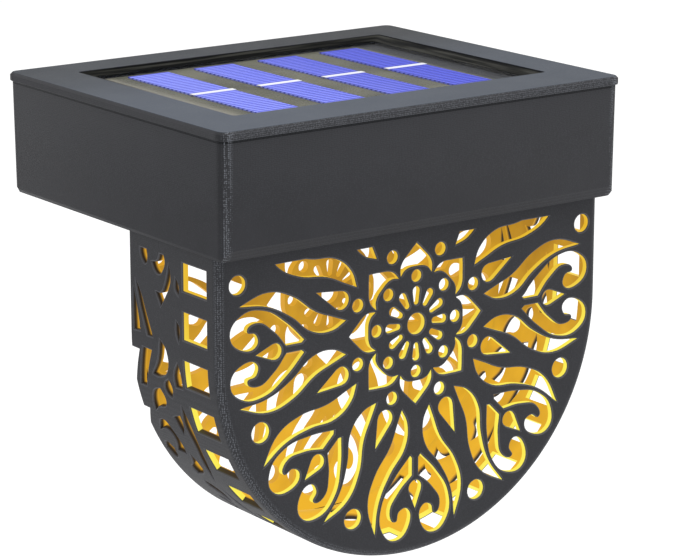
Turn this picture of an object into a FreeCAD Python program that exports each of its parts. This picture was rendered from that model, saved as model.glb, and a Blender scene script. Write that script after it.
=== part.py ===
import FreeCAD, Part
import math
import os

V = FreeCAD.Vector

# A solar fence light: a box with a solar panel on top and a D-shaped pierced lampshade below.
# Millimetres. +X right along the pierced front, +Y towards the fence, +Z up.
# The origin is the middle of the two screw seats, on the flat rear pad that meets the fence.

# ---- driving dimensions: overall ----
WIDTH = 100.0
DEPTH = 80.0
HEIGHT = 95.0
HOLD_DEPTH = 11.0  # screw seats below the top face

# ---- bezel and box ----
LIP_HEIGHT = 1.8
LIP_CORNER_R = 2.0
LIP_EDGE = 0.5  # broken edge round the top of the lip
LIP_OVERHANG = 0.4
BOX_HEIGHT = 25.5  # top of the lip to the underside of the box
BOX_DRAFT = 0.25  # how far each wall leans in on its way down
BOX_CORNER_R = 1.9
INNER_CORNER_R = 0.4  # the least corner radius inside the box
PLUG_CORNER_R = 0.6
CHAMFER_WIDTH = 1.15
CHAMFER_HEIGHT = 2.2
WALL = 2.0
FLOOR = 2.0
FIT = 0.2  # sliding clearance between moulded pieces
FILM = 0.05  # gap between stacked thin pieces
OVERSHOOT = 1.0  # how far a cut runs past what it cuts

# ---- solar panel ----
OPENING_WIDTH = 78.6
OPENING_DEPTH = 57.9
OPENING_CORNER_R = 0.8
CORNER_CHORDS = 3  # straight pieces that make up each corner of a hidden or small outline
PANEL_X = 0.75  # the panel sits slightly off the middle of the box
PANEL_Y = 1.55
BEAD_WIDTH_X = 3.1
BEAD_WIDTH_Y = 2.1
BEAD_TOP_DROP = 0.15
COVER_DROP = 1.0  # top face of the clear cover below the top of the lip
COVER_THICKNESS = 0.3
RIBBON_THICKNESS = 0.1
RIBBON_WIDTH = 1.5
RIBBON_OVERHANG = 0.25
CELL_THICKNESS = 0.3
CELL_WIDTH = 9.9
CELL_LENGTH = 49.0
CELL_PITCH = 16.47
CELL_COUNT = 4
BOARD_THICKNESS = 1.0
TAPE_THICKNESS = 0.4
LEDGE_WIDTH = 2.5
LEDGE_THICKNESS = 1.2
SEAL_WIDTH = 1.1
SEAL_HEIGHT = 0.75
SEAL_ROOM = 0.1

# ---- screws that hold the bezel ----
POST_R = 3.2
POST_INSET_X = 7.5
POST_REAR_INSET = 6.4
POST_FRONT_INSET = 10.0
POST_HEIGHT = 9.0
COUNTERBORE_R = 2.7
COUNTERBORE_DEPTH = 6.0
SCREW_R = 1.1
SCREW_SIDES = 6
HEAD_SIDES = 8
SCREW_HEAD_R = 2.2
SCREW_HEAD_HEIGHT = 1.5
SCREW_CLEARANCE = 0.05
BEZEL_SCREW_LENGTH = 9.0
HOLE_END_ROOM = 0.8

# ---- fixing to the fence ----
SEAT_SPACING = 60.0
SEAT_R = 2.1
NECK_WIDTH = 2.8
ENTRY_R = 3.9
ENTRY_DROP = 7.6
PAD_WIDTH = 76.0
PAD_ABOVE = 5.0
PAD_CORNER_R = 2.5

# ---- lampshade ----
SHADE_R = 48.2
SHADE_FRONT_INSET = 4.4  # front plate behind the front of the lip
SHADE_DEPTH = 31.6
SHADE_WALL = 1.7
SHADE_EDGE_R = 2.0
SHADE_EDGE_CHORDS = 2  # the rounded front edge is this many flats
EAR_LENGTH = 8.4
EAR_WIDTH = 9.0
EAR_THICKNESS = 2.0
EAR_SCREW_IN = 5.2  # screw axis from the inner face of the rim
EAR_SPACING = 12.0
EAR_SETBACK = 13.0  # first ear behind the front plate
BOSS_R = 2.8
BOSS_HEIGHT = 6.0
SHORT_SCREW_LENGTH = 6.5

# ---- mandala in the front plate ----
SMALL_SIDES = 8  # flats round a small opening
LARGE_SIDES = 12
END_CHORDS = 2  # flats round each half of a slot's end
LEAF_CHORDS = 6  # flats along each side of a leaf
SCROLL_OUTER_CHORDS = 11
SCROLL_INNER_CHORDS = 6
LOTUS_SIDE_CHORDS = 3
LOTUS_ARCH_CHORDS = 4
FLOWER_BELOW_TOP = 46.0
FLOWER_TOP = 17.5  # the pattern is cut off this far above its centre
SPRAYS = 8
EYE_R = 2.2
PETALS = 12
PETAL = (4.6, 0.6, 6.85, 0.9)  # inner end, its radius, outer end, its radius
BUD_RING = 10.0
BUD_R = 1.25
LOTUS_TIP = 16.8
LOTUS_SIDE = [(1.7, 15.2), (3.9, 12.5)]
LOTUS_HORN = (4.0, 10.2)
LOTUS_ARCH = 12.05
PEARL_RING = 15.9
PEARL_R = 1.35
DROP = (20.35, 1.9, 26.9, 0.0)
KNOT = (34.9, 1.65, 39.4, 0.0)
RIM_PEARL_RING = 41.6
RIM_PEARL_R = 2.1
RIM_PEARLS = (2, 3, 4, 5)  # the upper ones would leave the plate; corner pearls take their place
CORNER_PEARL = (43.6, 14.7)
CORNER_PEARL_R = 1.9
LEAF_ROOT = (3.5, 17.6)
LEAF_TIP = (10.3, 43.2)
LEAF_OUTER = [(4.6, 20.4), (6.4, 24.9), (10.4, 30.6), (12.1, 36.4)]
LEAF_INNER = [(9.3, 36.5), (6.4, 30.8), (2.6, 25.8), (2.0, 21.0)]
SCROLL_TIP = (1.3, 27.8)
SCROLL_FLAT = 0.8
SCROLL_FLAT_LOW = 28.4
SCROLL_FLAT_HIGH = 32.1
SCROLL_OUTER = [(5.5, 32.2), (8.7, 37.6), (8.4, 42.8), (4.9, 45.4), (1.5, 42.6), (1.9, 39.1)]
SCROLL_END = (4.1, 39.3)
SCROLL_INNER = [(5.1, 41.4), (6.5, 39.3), (4.3, 35.2)]
SMALLEST_CUT = 1.5  # square millimetres; clipped scraps under this are left solid

# ---- rim of the lampshade ----
WINDOW_FRONT = 3.8  # from the front plate's face to the window row
WINDOW_DEPTH = 9.0
WINDOW_LENGTH = 6.1
WINDOW_PITCH = 9.9
WINDOW_FIRST = 6.0  # middle of the first window below the box
# openings of the leaf band: (from the front plate's face, below the box) round each outline
BAND_ONCE = [
    [(27.7, 3.0), (25.4, 3.0), (25.8, 5.9), (26.9, 5.4)],
    [(23.5, 5.1), (22.4, 6.7), (20.9, 7.1), (18.9, 4.3), (19.3, 3.0), (20.6, 3.0), (21.4, 4.5)],
    [(17.4, 4.4), (16.9, 7.3), (20.5, 13.6), (22.2, 10.9), (20.2, 10.8), (18.2, 7.3)],
    [(15.0, 6.6), (14.0, 8.2), (14.3, 10.1), (15.4, 9.0)],
    [(30.4, 11.5), (28.0, 20.2), (30.5, 20.4), (30.6, 15.5)],
    [(29.6, 9.8), (26.2, 15.5), (23.6, 20.6), (25.6, 20.6), (27.4, 17.0)],
    [(15.0, 15.4), (14.0, 15.7), (14.1, 19.8), (15.2, 18.0)],
    [(15.0, 24.0), (14.0, 27.0), (14.2, 29.3), (16.4, 29.4), (16.2, 26.6)],
    [(18.9, 28.5), (18.0, 30.2), (18.7, 32.4), (20.4, 31.6), (20.4, 29.8)],
    [(20.3, 37.0), (17.8, 36.3), (17.6, 38.0), (18.8, 41.3)],
    [(30.2, 48.0), (28.4, 45.6), (26.8, 47.0), (28.4, 50.4)],
]
BAND_TWICE = [
    [(27.4, 23.5), (24.2, 23.5), (28.0, 32.0), (30.0, 32.0)],
    [(21.0, 20.5), (18.8, 22.5), (18.8, 26.4), (22.6, 28.6), (24.2, 28.2), (22.0, 25.0)],
    [(22.8, 31.2), (21.6, 33.4), (22.4, 35.2), (27.0, 37.2), (26.2, 33.6)],
    [(15.8, 33.4), (14.3, 38.0), (14.2, 43.0), (15.2, 49.0), (17.2, 53.5), (16.8, 44.0)],
    [(28.4, 42.4), (25.5, 39.2), (22.6, 41.6), (22.0, 46.5), (25.2, 47.2), (24.0, 43.6), (25.6, 41.8)],
    [(20.4, 46.4), (19.2, 49.4), (19.8, 51.2), (23.4, 53.4), (23.8, 51.6), (21.8, 49.6)],
]
BAND_MIRROR = 109.0  # an opening made twice and its mirror image lower down: their places add up to this
# bites out of the rear edge: how deep they go, from the front plate's face, and from where to where
BAND_NOTCHES = [(28.8, 24.3, 31.4), (29.4, 37.6, 41.6)]
BAND_MIDDLE = [(17.0, 1.5), (22.6, 2.3), (28.0, 1.6)]  # round openings on the lowest line: depth, radius

# ---- rear panel of the lampshade ----
REAR_PANEL_THICKNESS = 1.6
REAR_PANEL_RECESS = 0.2
REAR_EYE_R = 4.2
REAR_PETALS = 8
REAR_PETAL = (9.6, 1.4, 14.2, 2.7)
REAR_RING = 24.6
REAR_RING_R = 4.7
REAR_RING_COUNT = 8
REAR_FAN_COUNT = 12
REAR_FAN = (34.4, 2.6, 38.8, 3.6)
REAR_TOP_MARGIN = 5.0
TAB_X = 20.0
TAB_WIDTH = 9.0
TAB_LENGTH = 9.0
TAB_THICKNESS = 2.0

# ---- lamp ----
LENS_LENGTH = 40.0
LENS_WIDTH = 9.0
LENS_CORNER_R = 2.5
LENS_FLANGE = 2.0
LENS_FLANGE_THICKNESS = 1.0
LED_COUNT = 3
LED_PITCH = 13.0
LED_R = 1.7
LED_TIP_R = 0.8
LED_DOME = 1.1
LED_HEIGHT = 2.2
LED_GAP = 0.4
LED_BOARD = (58.0, 14.0)
LED_BOARD_BEHIND_FRONT = 15.0
LED_SCREW_LENGTH = 3.6
PCB = 1.2

# ---- control board and push button ----
BUTTON_FROM_REAR = 24.0
BUTTON_R = 4.5
BUTTON_SIDES = 24
BUTTON_OUT = 2.6
BUTTON_EDGE = 0.8
BUTTON_FLANGE_R = 5.8
BUTTON_FLANGE = 1.0
BUTTON_TRAVEL = 1.5
BUTTON_FIT = 0.15
COLLAR_WALL = 1.5
COLLAR_OUT = 0.8
SWITCH_SIZE = 8.5
SWITCH_HEIGHT = 6.5
PLUNGER_R = 1.6
PLUNGER_FIT = 0.08
PLUNGER_GRIP = 3.2  # how far the plunger reaches into the switch at rest
CONTROL_BOARD_DEPTH = 22.0
CONTROL_BOARD_SIDE_ROOM = 4.35  # from the housing's side wall to the board
CONTROL_BOARD_TO_HOLDER = 1.1
DRIVER_CHIP = (5.0, 4.0, 1.5)
DRIVER_PLACE = (-4.0, -3.0)
COIL_R = 2.2
COIL_HEIGHT = 2.4
COIL_PLACE = (5.0, -3.0)
RESISTOR = (3.2, 1.6, 0.6)
RESISTOR_PLACE = (5.0, 4.0)
CONTROL_SCREW_LENGTH = 6.0
STANDOFF_R = 2.4
STANDOFF_INSET = 3.4

# ---- battery ----
BATTERY_R = 7.1
BATTERY_SIDES = 16
BATTERY_LENGTH = 48.5
BATTERY_NUB_R = 2.7
BATTERY_NUB = 1.4
HOLDER_SIDE_ROOM = 3.45  # from the housing's side wall to the holder
BATTERY_FROM_REAR = 22.0
HOLDER_WALL = 1.4
HOLDER_SIDE_HEIGHT = 8.5
CONTACT = 0.5
CONTACT_WIDTH = 8.0
CONTACT_ABOVE_AXIS = 3.0
CONTACT_LIFT = 2.6  # how far the bowed minus contact stands off its wall

# ---- worked out from the sizes above ----
TOP = HOLD_DEPTH
LIP_BOTTOM = TOP - LIP_HEIGHT
BOTTOM = TOP - BOX_HEIGHT
FLOOR_TOP = BOTTOM + FLOOR
MIDDLE_Y = -DEPTH / 2
PANEL = V(PANEL_X, MIDDLE_Y + PANEL_Y, 0)
COVER_TOP = TOP - COVER_DROP
COVER_BOTTOM = COVER_TOP - COVER_THICKNESS
RIBBON_TOP = COVER_BOTTOM - FILM
CELL_TOP = RIBBON_TOP - RIBBON_THICKNESS
BOARD_TOP = CELL_TOP - CELL_THICKNESS
BOARD_BOTTOM = BOARD_TOP - BOARD_THICKNESS
LEDGE_TOP = BOARD_BOTTOM - TAPE_THICKNESS
LEDGE_BOTTOM = LEDGE_TOP - LEDGE_THICKNESS
POST_TOP = FLOOR_TOP + POST_HEIGHT
SHADE_FRONT = -DEPTH + SHADE_FRONT_INSET
SHADE_BACK = SHADE_FRONT + SHADE_DEPTH
SHADE_CENTRE_Z = TOP - HEIGHT + SHADE_R
SHADE_INNER_R = SHADE_R - SHADE_WALL
FLOWER_Z = TOP - FLOWER_BELOW_TOP
LED_BOARD_Y = SHADE_FRONT + LED_BOARD_BEHIND_FRONT
LENS_TOP = FLOOR_TOP + LENS_FLANGE_THICKNESS
LED_BOARD_Z = LENS_TOP + LED_GAP + LED_HEIGHT
BUTTON_Y = -BUTTON_FROM_REAR
BUTTON_FLANGE_Z = FLOOR_TOP + FILM
SWITCH_Z = BUTTON_FLANGE_Z + BUTTON_FLANGE + BUTTON_TRAVEL + FIT
CONTROL_BOARD_Z = SWITCH_Z + SWITCH_HEIGHT
BATTERY_Y = -BATTERY_FROM_REAR
BATTERY_Z = FLOOR_TOP + HOLDER_WALL + FIT + BATTERY_R
HOLDER_ROOM = BATTERY_LENGTH + BATTERY_NUB + CONTACT + CONTACT_LIFT
HOLDER_LENGTH = HOLDER_ROOM + 2 * HOLDER_WALL
HOLDER_WIDTH = 2 * (BATTERY_R + FIT + HOLDER_WALL)
ROOM_HALF_WIDTH = WIDTH / 2 - LIP_OVERHANG - BOX_DRAFT - WALL
BATTERY_X = ROOM_HALF_WIDTH - HOLDER_SIDE_ROOM - HOLDER_LENGTH / 2
CONTROL_BOARD_LEFT = CONTROL_BOARD_SIDE_ROOM - ROOM_HALF_WIDTH
CONTROL_BOARD_RIGHT = BATTERY_X - HOLDER_LENGTH / 2 - CONTROL_BOARD_TO_HOLDER
CONTROL_BOARD = (CONTROL_BOARD_RIGHT - CONTROL_BOARD_LEFT, CONTROL_BOARD_DEPTH)
BUTTON_X = (CONTROL_BOARD_LEFT + CONTROL_BOARD_RIGHT) / 2


# ---- small shape makers ----
def rectangle(width, depth, radius, centre, z):
    """The places round a level rectangle; each corner is rounded by a few chords."""
    places = []
    for turn, (side_x, side_y) in enumerate(((1, 1), (-1, 1), (-1, -1), (1, -1))):
        x, y = centre.x + side_x * (width / 2 - radius), centre.y + side_y * (depth / 2 - radius)
        for k in range(CORNER_CHORDS + 1):
            a = math.pi / 2 * (turn + k / CORNER_CHORDS)
            places.append(V(x + radius * math.cos(a), y + radius * math.sin(a), z))
    return places


def ring(radius, sides, x, y, z):
    angles = [2 * math.pi * (k + 0.5) / sides for k in range(sides)]
    return [V(x + radius * math.cos(a), y + radius * math.sin(a), z) for a in angles]


def flat(places):
    return Part.Face(Part.makePolygon(places + places[:1]))


def stack(levels):
    """A solid with flat sides through outlines of equal count, from the lowest to the highest."""
    faces = [flat(levels[0]), flat(levels[-1])]
    for low, high in zip(levels, levels[1:]):
        faces += [flat([low[k - 1], low[k], high[k], high[k - 1]]) for k in range(len(low))]
    return Part.Solid(Part.makeShell(faces))


def slab(width, depth, radius, centre, low, high):
    return stack([rectangle(width, depth, radius, centre, z) for z in (low, high)])


def frame_slab(outer, inner, radius, centre, low, high):
    hole = slab(inner[0], inner[1], radius, centre, low - OVERSHOOT, high + OVERSHOOT)
    return slab(outer[0], outer[1], radius, centre, low, high).cut(hole)


def block(x, y, z, low, size):
    """A box centred on x and y that starts at low, with the given size along X, Y and Z."""
    return Part.makeBox(size[0], size[1], size[2], V(x - size[0] / 2, y - size[1] / 2, z + low))


def rod(radius, low, high, x, y):
    return Part.makeCylinder(radius, high - low, V(x, y, low))


def prism(radius, low, high, x, y, sides=HEAD_SIDES):
    """A many-sided rod, for what repeats and what is hidden."""
    return stack([ring(radius, sides, x, y, z) for z in (low, high)])


def pilot_hole(low, high, x, y):
    """The hole that a screw's shank goes into."""
    return prism(SCREW_R + SCREW_CLEARANCE, low, high, x, y, SCREW_SIDES)


def screw_up(x, y, seat, length):
    """A pan-head screw whose head sits under the level seat and whose shank points up."""
    head = prism(SCREW_HEAD_R, seat - SCREW_HEAD_HEIGHT, seat, x, y)
    return head.fuse(prism(SCREW_R, seat, seat + length, x, y, SCREW_SIDES)).removeSplitter()


def group(solids):
    return Part.makeCompound(solids)


# ---- outlines in the plane of the front plate: u sideways, v up, from the pattern's centre ----
def polygon(points):
    return flat([V(u, 0, v) for u, v in points])


def smooth(points, chords):
    """Places along the smooth curve through some points, so many chords apart; the last is left out."""
    spline = Part.BSplineCurve()
    spline.interpolate([V(u, 0, v) for u, v in points])
    return [(p.x, p.z) for p in spline.discretize(chords + 1)[:-1]]


def disc(u, v, radius, sides=SMALL_SIDES):
    angles = [2 * math.pi * (k + 0.5) / sides for k in range(sides)]
    return polygon([(u + radius * math.sin(a), v + radius * math.cos(a)) for a in angles])


def tapered_slot(v0, r0, v1, r1):
    """Two round ends joined by their tangents; an end of radius 0 is a point."""
    lean = math.asin((r0 - r1) / (v1 - v0))
    steps = [k / END_CHORDS for k in range(-END_CHORDS, END_CHORDS + 1)]
    low = [(math.pi / 2 + lean) * k for k in steps]
    points = [(r0 * math.sin(a), v0 - r0 * math.cos(a)) for a in low]
    if r1 == 0:
        return polygon(points + [(0, v1)])
    high = [(math.pi / 2 - lean) * k for k in reversed(steps)]
    return polygon(points + [(r1 * math.sin(a), v1 + r1 * math.cos(a)) for a in high])


def lotus():
    horn, other = LOTUS_HORN, (-LOTUS_HORN[0], LOTUS_HORN[1])
    tip = (0, LOTUS_TIP)
    side = smooth([tip] + LOTUS_SIDE + [horn], LOTUS_SIDE_CHORDS)
    arch = smooth([horn, (0, LOTUS_ARCH), other], LOTUS_ARCH_CHORDS)
    back = smooth([other] + [(-u, v) for u, v in reversed(LOTUS_SIDE)] + [tip], LOTUS_SIDE_CHORDS)
    return polygon(side + arch + back)


def s_leaf():
    outer = smooth([LEAF_ROOT] + LEAF_OUTER + [LEAF_TIP], LEAF_CHORDS)
    inner = smooth([LEAF_TIP] + LEAF_INNER + [LEAF_ROOT], LEAF_CHORDS)
    return polygon(outer + inner)


def scroll():
    outer = smooth([SCROLL_TIP] + SCROLL_OUTER + [SCROLL_END], SCROLL_OUTER_CHORDS)
    inner = smooth([SCROLL_END] + SCROLL_INNER + [(SCROLL_FLAT, SCROLL_FLAT_HIGH)], SCROLL_INNER_CHORDS)
    return polygon(outer + inner + [(SCROLL_FLAT, SCROLL_FLAT_HIGH), (SCROLL_FLAT, SCROLL_FLAT_LOW)])


def turned(face, degrees):
    copy = face.copy()
    copy.rotate(V(0, 0, 0), V(0, 1, 0), degrees)
    return copy


def mirrored(face):
    return face.mirror(V(0, 0, 0), V(1, 0, 0))


def mandala():
    """All openings of the front plate, as faces round the origin, cut off at FLOWER_TOP."""
    step = 360 / SPRAYS
    faces = [disc(0, 0, EYE_R, LARGE_SIDES)]
    faces += [turned(tapered_slot(*PETAL), k * 360 / PETALS) for k in range(PETALS)]
    spray = [s_leaf(), mirrored(s_leaf()), scroll(), mirrored(scroll()), tapered_slot(*KNOT)]
    for k in range(SPRAYS):
        faces += [turned(f, k * step) for f in (disc(0, BUD_RING, BUD_R), lotus())]
        between = [disc(0, PEARL_RING, PEARL_R), tapered_slot(*DROP)]
        if k in RIM_PEARLS:
            between.append(disc(0, RIM_PEARL_RING, RIM_PEARL_R))
        faces += [turned(f, (k + 0.5) * step) for f in between]
        faces += [turned(f, k * step) for f in spray]
    reach = 2 * WIDTH
    corner = V(-WIDTH, -OVERSHOOT, FLOWER_TOP - reach)
    below = Part.makeBox(reach, 2 * OVERSHOOT, reach, corner)
    kept = []
    for face in faces:
        if face.BoundBox.ZMin >= FLOWER_TOP:
            continue
        if face.BoundBox.ZMax > FLOWER_TOP:
            kept += [f for f in face.common(below).Faces if f.Area > SMALLEST_CUT]
        else:
            kept.append(face)
    u, v = CORNER_PEARL
    return kept + [disc(u, v, CORNER_PEARL_R), disc(-u, v, CORNER_PEARL_R)]


# ---- bezel and solar panel ----
def box_outline(inset, z):
    radius = max(BOX_CORNER_R - inset, INNER_CORNER_R)
    width = WIDTH - 2 * (LIP_OVERHANG + inset)
    depth = DEPTH - 2 * (LIP_OVERHANG + inset)
    return rectangle(width, depth, radius, V(0, MIDDLE_Y, 0), z)


def lip_outline(inset, z):
    width, depth = WIDTH - 2 * inset, DEPTH - 2 * inset
    return rectangle(width, depth, LIP_CORNER_R - inset, V(0, MIDDLE_Y, 0), z)


def post_places():
    x = WIDTH / 2 - POST_INSET_X
    return [(s * x, y) for s in (-1, 1) for y in (-POST_REAR_INSET, -DEPTH + POST_FRONT_INSET)]


def opening(grow, low, high):
    size = (OPENING_WIDTH + 2 * grow, OPENING_DEPTH + 2 * grow)
    return slab(size[0], size[1], OPENING_CORNER_R, PANEL, low, high)


def seal_size():
    middle = LIP_OVERHANG + WALL / 2
    return WIDTH - 2 * middle, DEPTH - 2 * middle


def seal_ring(width, low, high):
    a, b = seal_size()
    centre = V(0, MIDDLE_Y, 0)
    return frame_slab((a + width, b + width), (a - width, b - width), BOX_CORNER_R, centre, low, high)


def bezel():
    edge = TOP - LIP_EDGE
    levels = [lip_outline(0, LIP_BOTTOM), lip_outline(0, edge), lip_outline(LIP_EDGE, TOP)]
    inset = 2 * (LIP_OVERHANG + BOX_DRAFT + WALL + FIT)
    middle = V(0, MIDDLE_Y, 0)
    plug = slab(WIDTH - inset, DEPTH - inset, PLUG_CORNER_R, middle, LEDGE_BOTTOM, LIP_BOTTOM)
    bosses = [prism(POST_R, POST_TOP, LEDGE_BOTTOM, x, y) for x, y in post_places()]
    solid = stack(levels).fuse([plug] + bosses).removeSplitter()
    hole_top = BOTTOM + COUNTERBORE_DEPTH + BEZEL_SCREW_LENGTH + HOLE_END_ROOM
    cuts = [pilot_hole(POST_TOP - OVERSHOOT, hole_top, x, y) for x, y in post_places()]
    cuts.append(opening(0, LEDGE_TOP, TOP + OVERSHOOT))
    cuts.append(opening(-LEDGE_WIDTH, LEDGE_BOTTOM - OVERSHOOT, TOP + OVERSHOOT))
    groove_top = LIP_BOTTOM + SEAL_HEIGHT + SEAL_ROOM
    cuts.append(seal_ring(SEAL_WIDTH + 2 * SEAL_ROOM, LIP_BOTTOM - OVERSHOOT, groove_top))
    return solid.cut(cuts)


def housing_seal():
    return seal_ring(SEAL_WIDTH, LIP_BOTTOM, LIP_BOTTOM + SEAL_HEIGHT)


def panel_tape():
    outer = (OPENING_WIDTH - 2 * FIT, OPENING_DEPTH - 2 * FIT)
    inner = (OPENING_WIDTH - 2 * LEDGE_WIDTH, OPENING_DEPTH - 2 * LEDGE_WIDTH)
    return frame_slab(outer, inner, OPENING_CORNER_R, PANEL, LEDGE_TOP, BOARD_BOTTOM)


def panel_board():
    return opening(-FIT, BOARD_BOTTOM, BOARD_TOP)


def cell_places():
    return [PANEL.x + (k - (CELL_COUNT - 1) / 2) * CELL_PITCH for k in range(CELL_COUNT)]


def solar_cell(x):
    return block(x, PANEL.y, BOARD_TOP, 0, (CELL_WIDTH, CELL_LENGTH, CELL_THICKNESS))


def cell_ribbons():
    size = (CELL_WIDTH + 2 * RIBBON_OVERHANG, RIBBON_WIDTH, RIBBON_THICKNESS)
    return group([block(x, PANEL.y, CELL_TOP, 0, size) for x in cell_places()])


def bead_outline(inset, z):
    """The bead is inset further at the sides than at the front and back."""
    width = OPENING_WIDTH - 2 * FIT / 2 - 2 * inset * BEAD_WIDTH_X
    depth = OPENING_DEPTH - 2 * FIT / 2 - 2 * inset * BEAD_WIDTH_Y
    return rectangle(width, depth, OPENING_CORNER_R, PANEL, z)


def panel_gasket():
    low, high = BOARD_TOP, TOP - BEAD_TOP_DROP
    body = stack([bead_outline(0, low), bead_outline(0, high)])
    slope = stack([bead_outline(1, COVER_TOP), bead_outline(0, high)])
    well = stack([bead_outline(1, low - OVERSHOOT), bead_outline(1, COVER_TOP)])
    return body.cut([slope, well])


def panel_window():
    width = OPENING_WIDTH - FIT - 2 * (BEAD_WIDTH_X + FILM)
    depth = OPENING_DEPTH - FIT - 2 * (BEAD_WIDTH_Y + FILM)
    return slab(width, depth, OPENING_CORNER_R, PANEL, COVER_BOTTOM, COVER_TOP)


# ---- housing ----
def shade_screw_places():
    x = SHADE_INNER_R - EAR_SCREW_IN
    first = SHADE_FRONT + EAR_SETBACK
    return [(s * x, y) for s in (-1, 1) for y in (first, first + EAR_SPACING)]


def rear_panel_front():
    return SHADE_BACK - REAR_PANEL_RECESS - REAR_PANEL_THICKNESS


def tab_screw_places():
    y = rear_panel_front() - TAB_LENGTH + TAB_WIDTH / 2
    return [(s * TAB_X, y) for s in (-1, 1)]


def led_board_screw_places():
    x = LED_BOARD[0] / 2 - STANDOFF_INSET
    return [(s * x, LED_BOARD_Y) for s in (-1, 1)]


def control_board_screw_places():
    x, y = CONTROL_BOARD[0] / 2 - STANDOFF_INSET, CONTROL_BOARD[1] / 2 - STANDOFF_INSET
    return [(BUTTON_X - x, BUTTON_Y + y), (BUTTON_X + x, BUTTON_Y - y)]


def keyhole(x):
    """A round entry, a narrow neck and the round seat where the screw comes to rest."""
    reach = WALL + LIP_OVERHANG + BOX_DRAFT + 2 * OVERSHOOT
    start = V(x, OVERSHOOT, 0)
    seat = Part.makeCylinder(SEAT_R, reach, start, V(0, -1, 0))
    entry = Part.makeCylinder(ENTRY_R, reach, start - V(0, 0, ENTRY_DROP), V(0, -1, 0))
    corner = V(x - NECK_WIDTH / 2, OVERSHOOT - reach, -ENTRY_DROP)
    neck = Part.makeBox(NECK_WIDTH, reach, ENTRY_DROP, corner)
    return seat.fuse([entry, neck])


def rear_pad():
    low = BOTTOM + CHAMFER_HEIGHT
    height = PAD_ABOVE - low
    pad = slab(PAD_WIDTH, height, PAD_CORNER_R, V(0, 0, 0), 0, WALL)
    pad.rotate(V(0, 0, 0), V(1, 0, 0), 90)
    pad.translate(V(0, 0, (PAD_ABOVE + low) / 2))
    return pad


def housing():
    chamfer_top = BOTTOM + CHAMFER_HEIGHT
    levels = [box_outline(BOX_DRAFT + CHAMFER_WIDTH, BOTTOM), box_outline(BOX_DRAFT, chamfer_top)]
    shell = stack(levels + [box_outline(0, LIP_BOTTOM)])
    room = stack([box_outline(BOX_DRAFT + WALL, FLOOR_TOP), box_outline(WALL, LIP_BOTTOM)])
    solid = shell.cut(room).fuse(rear_pad())
    under = shade_screw_places() + tab_screw_places()
    added = [prism(POST_R, FLOOR_TOP, POST_TOP, x, y) for x, y in post_places()]
    added += [prism(BOSS_R, FLOOR_TOP, FLOOR_TOP + BOSS_HEIGHT, x, y) for x, y in under]
    added += [prism(STANDOFF_R, FLOOR_TOP, LED_BOARD_Z, x, y) for x, y in led_board_screw_places()]
    added += [prism(STANDOFF_R, FLOOR_TOP, CONTROL_BOARD_Z, x, y) for x, y in control_board_screw_places()]
    bore = BUTTON_R + BUTTON_FIT
    added.append(rod(bore + COLLAR_WALL, BOTTOM - COLLAR_OUT, BOTTOM + FLOOR / 2, BUTTON_X, BUTTON_Y))
    solid = solid.fuse(added).removeSplitter()
    start = BOTTOM - OVERSHOOT
    cuts = [keyhole(s * SEAT_SPACING / 2) for s in (-1, 1)]
    cuts += [prism(COUNTERBORE_R, start, BOTTOM + COUNTERBORE_DEPTH, x, y) for x, y in post_places()]
    cuts += [pilot_hole(start, POST_TOP + OVERSHOOT, x, y) for x, y in post_places()]
    cuts += [pilot_hole(start, BOTTOM + SHORT_SCREW_LENGTH, x, y) for x, y in under]
    cuts += [pilot_hole(FLOOR_TOP, LED_BOARD_Z + OVERSHOOT, x, y) for x, y in led_board_screw_places()]
    cuts += [pilot_hole(FLOOR_TOP, CONTROL_BOARD_Z + OVERSHOOT, x, y) for x, y in control_board_screw_places()]
    cuts.append(rod(bore, start - COLLAR_OUT, FLOOR_TOP + OVERSHOOT, BUTTON_X, BUTTON_Y))
    cuts.append(lens_slab(0, start, FLOOR_TOP + OVERSHOOT))
    return solid.cut(cuts)


def bezel_screws():
    seat = BOTTOM + COUNTERBORE_DEPTH
    return group([screw_up(x, y, seat, BEZEL_SCREW_LENGTH) for x, y in post_places()])


# ---- lamp ----
def lens_slab(grow, low, high):
    width, depth = LENS_LENGTH + 2 * grow, LENS_WIDTH + 2 * grow
    return slab(width, depth, LENS_CORNER_R, V(0, LED_BOARD_Y, 0), low, high)


def light_window():
    stem = lens_slab(-FIT, BOTTOM, FLOOR_TOP)
    flange = lens_slab(LENS_FLANGE, FLOOR_TOP, LENS_TOP)
    return stem.fuse(flange).removeSplitter()


def led_board():
    board = block(0, LED_BOARD_Y, LED_BOARD_Z, 0, (LED_BOARD[0], LED_BOARD[1], PCB))
    holes = [pilot_hole(LED_BOARD_Z - OVERSHOOT, LED_BOARD_Z + PCB + OVERSHOOT, x, y)
             for x, y in led_board_screw_places()]
    return board.cut(holes)


def leds():
    lamps = []
    for k in range(LED_COUNT):
        x = (k - (LED_COUNT - 1) / 2) * LED_PITCH
        low = LED_BOARD_Z - LED_HEIGHT
        levels = [(LED_TIP_R, low), (LED_R, low + LED_DOME), (LED_R, LED_BOARD_Z)]
        lamps.append(stack([ring(r, HEAD_SIDES, x, LED_BOARD_Y, z) for r, z in levels]))
    return group(lamps)


def board_screws(places, seat, length):
    """Screws whose heads sit on top of a board and whose shanks point down."""
    screws = []
    for x, y in places:
        screw = screw_up(x, y, seat, length)
        screw.rotate(V(x, y, seat), V(1, 0, 0), 180)
        screws.append(screw)
    return group(screws)


# ---- control board, switch and button ----
def control_board():
    board = block(BUTTON_X, BUTTON_Y, CONTROL_BOARD_Z, 0, (CONTROL_BOARD[0], CONTROL_BOARD[1], PCB))
    holes = [pilot_hole(CONTROL_BOARD_Z - OVERSHOOT, CONTROL_BOARD_Z + PCB + OVERSHOOT, x, y)
             for x, y in control_board_screw_places()]
    return board.cut(holes)


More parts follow.
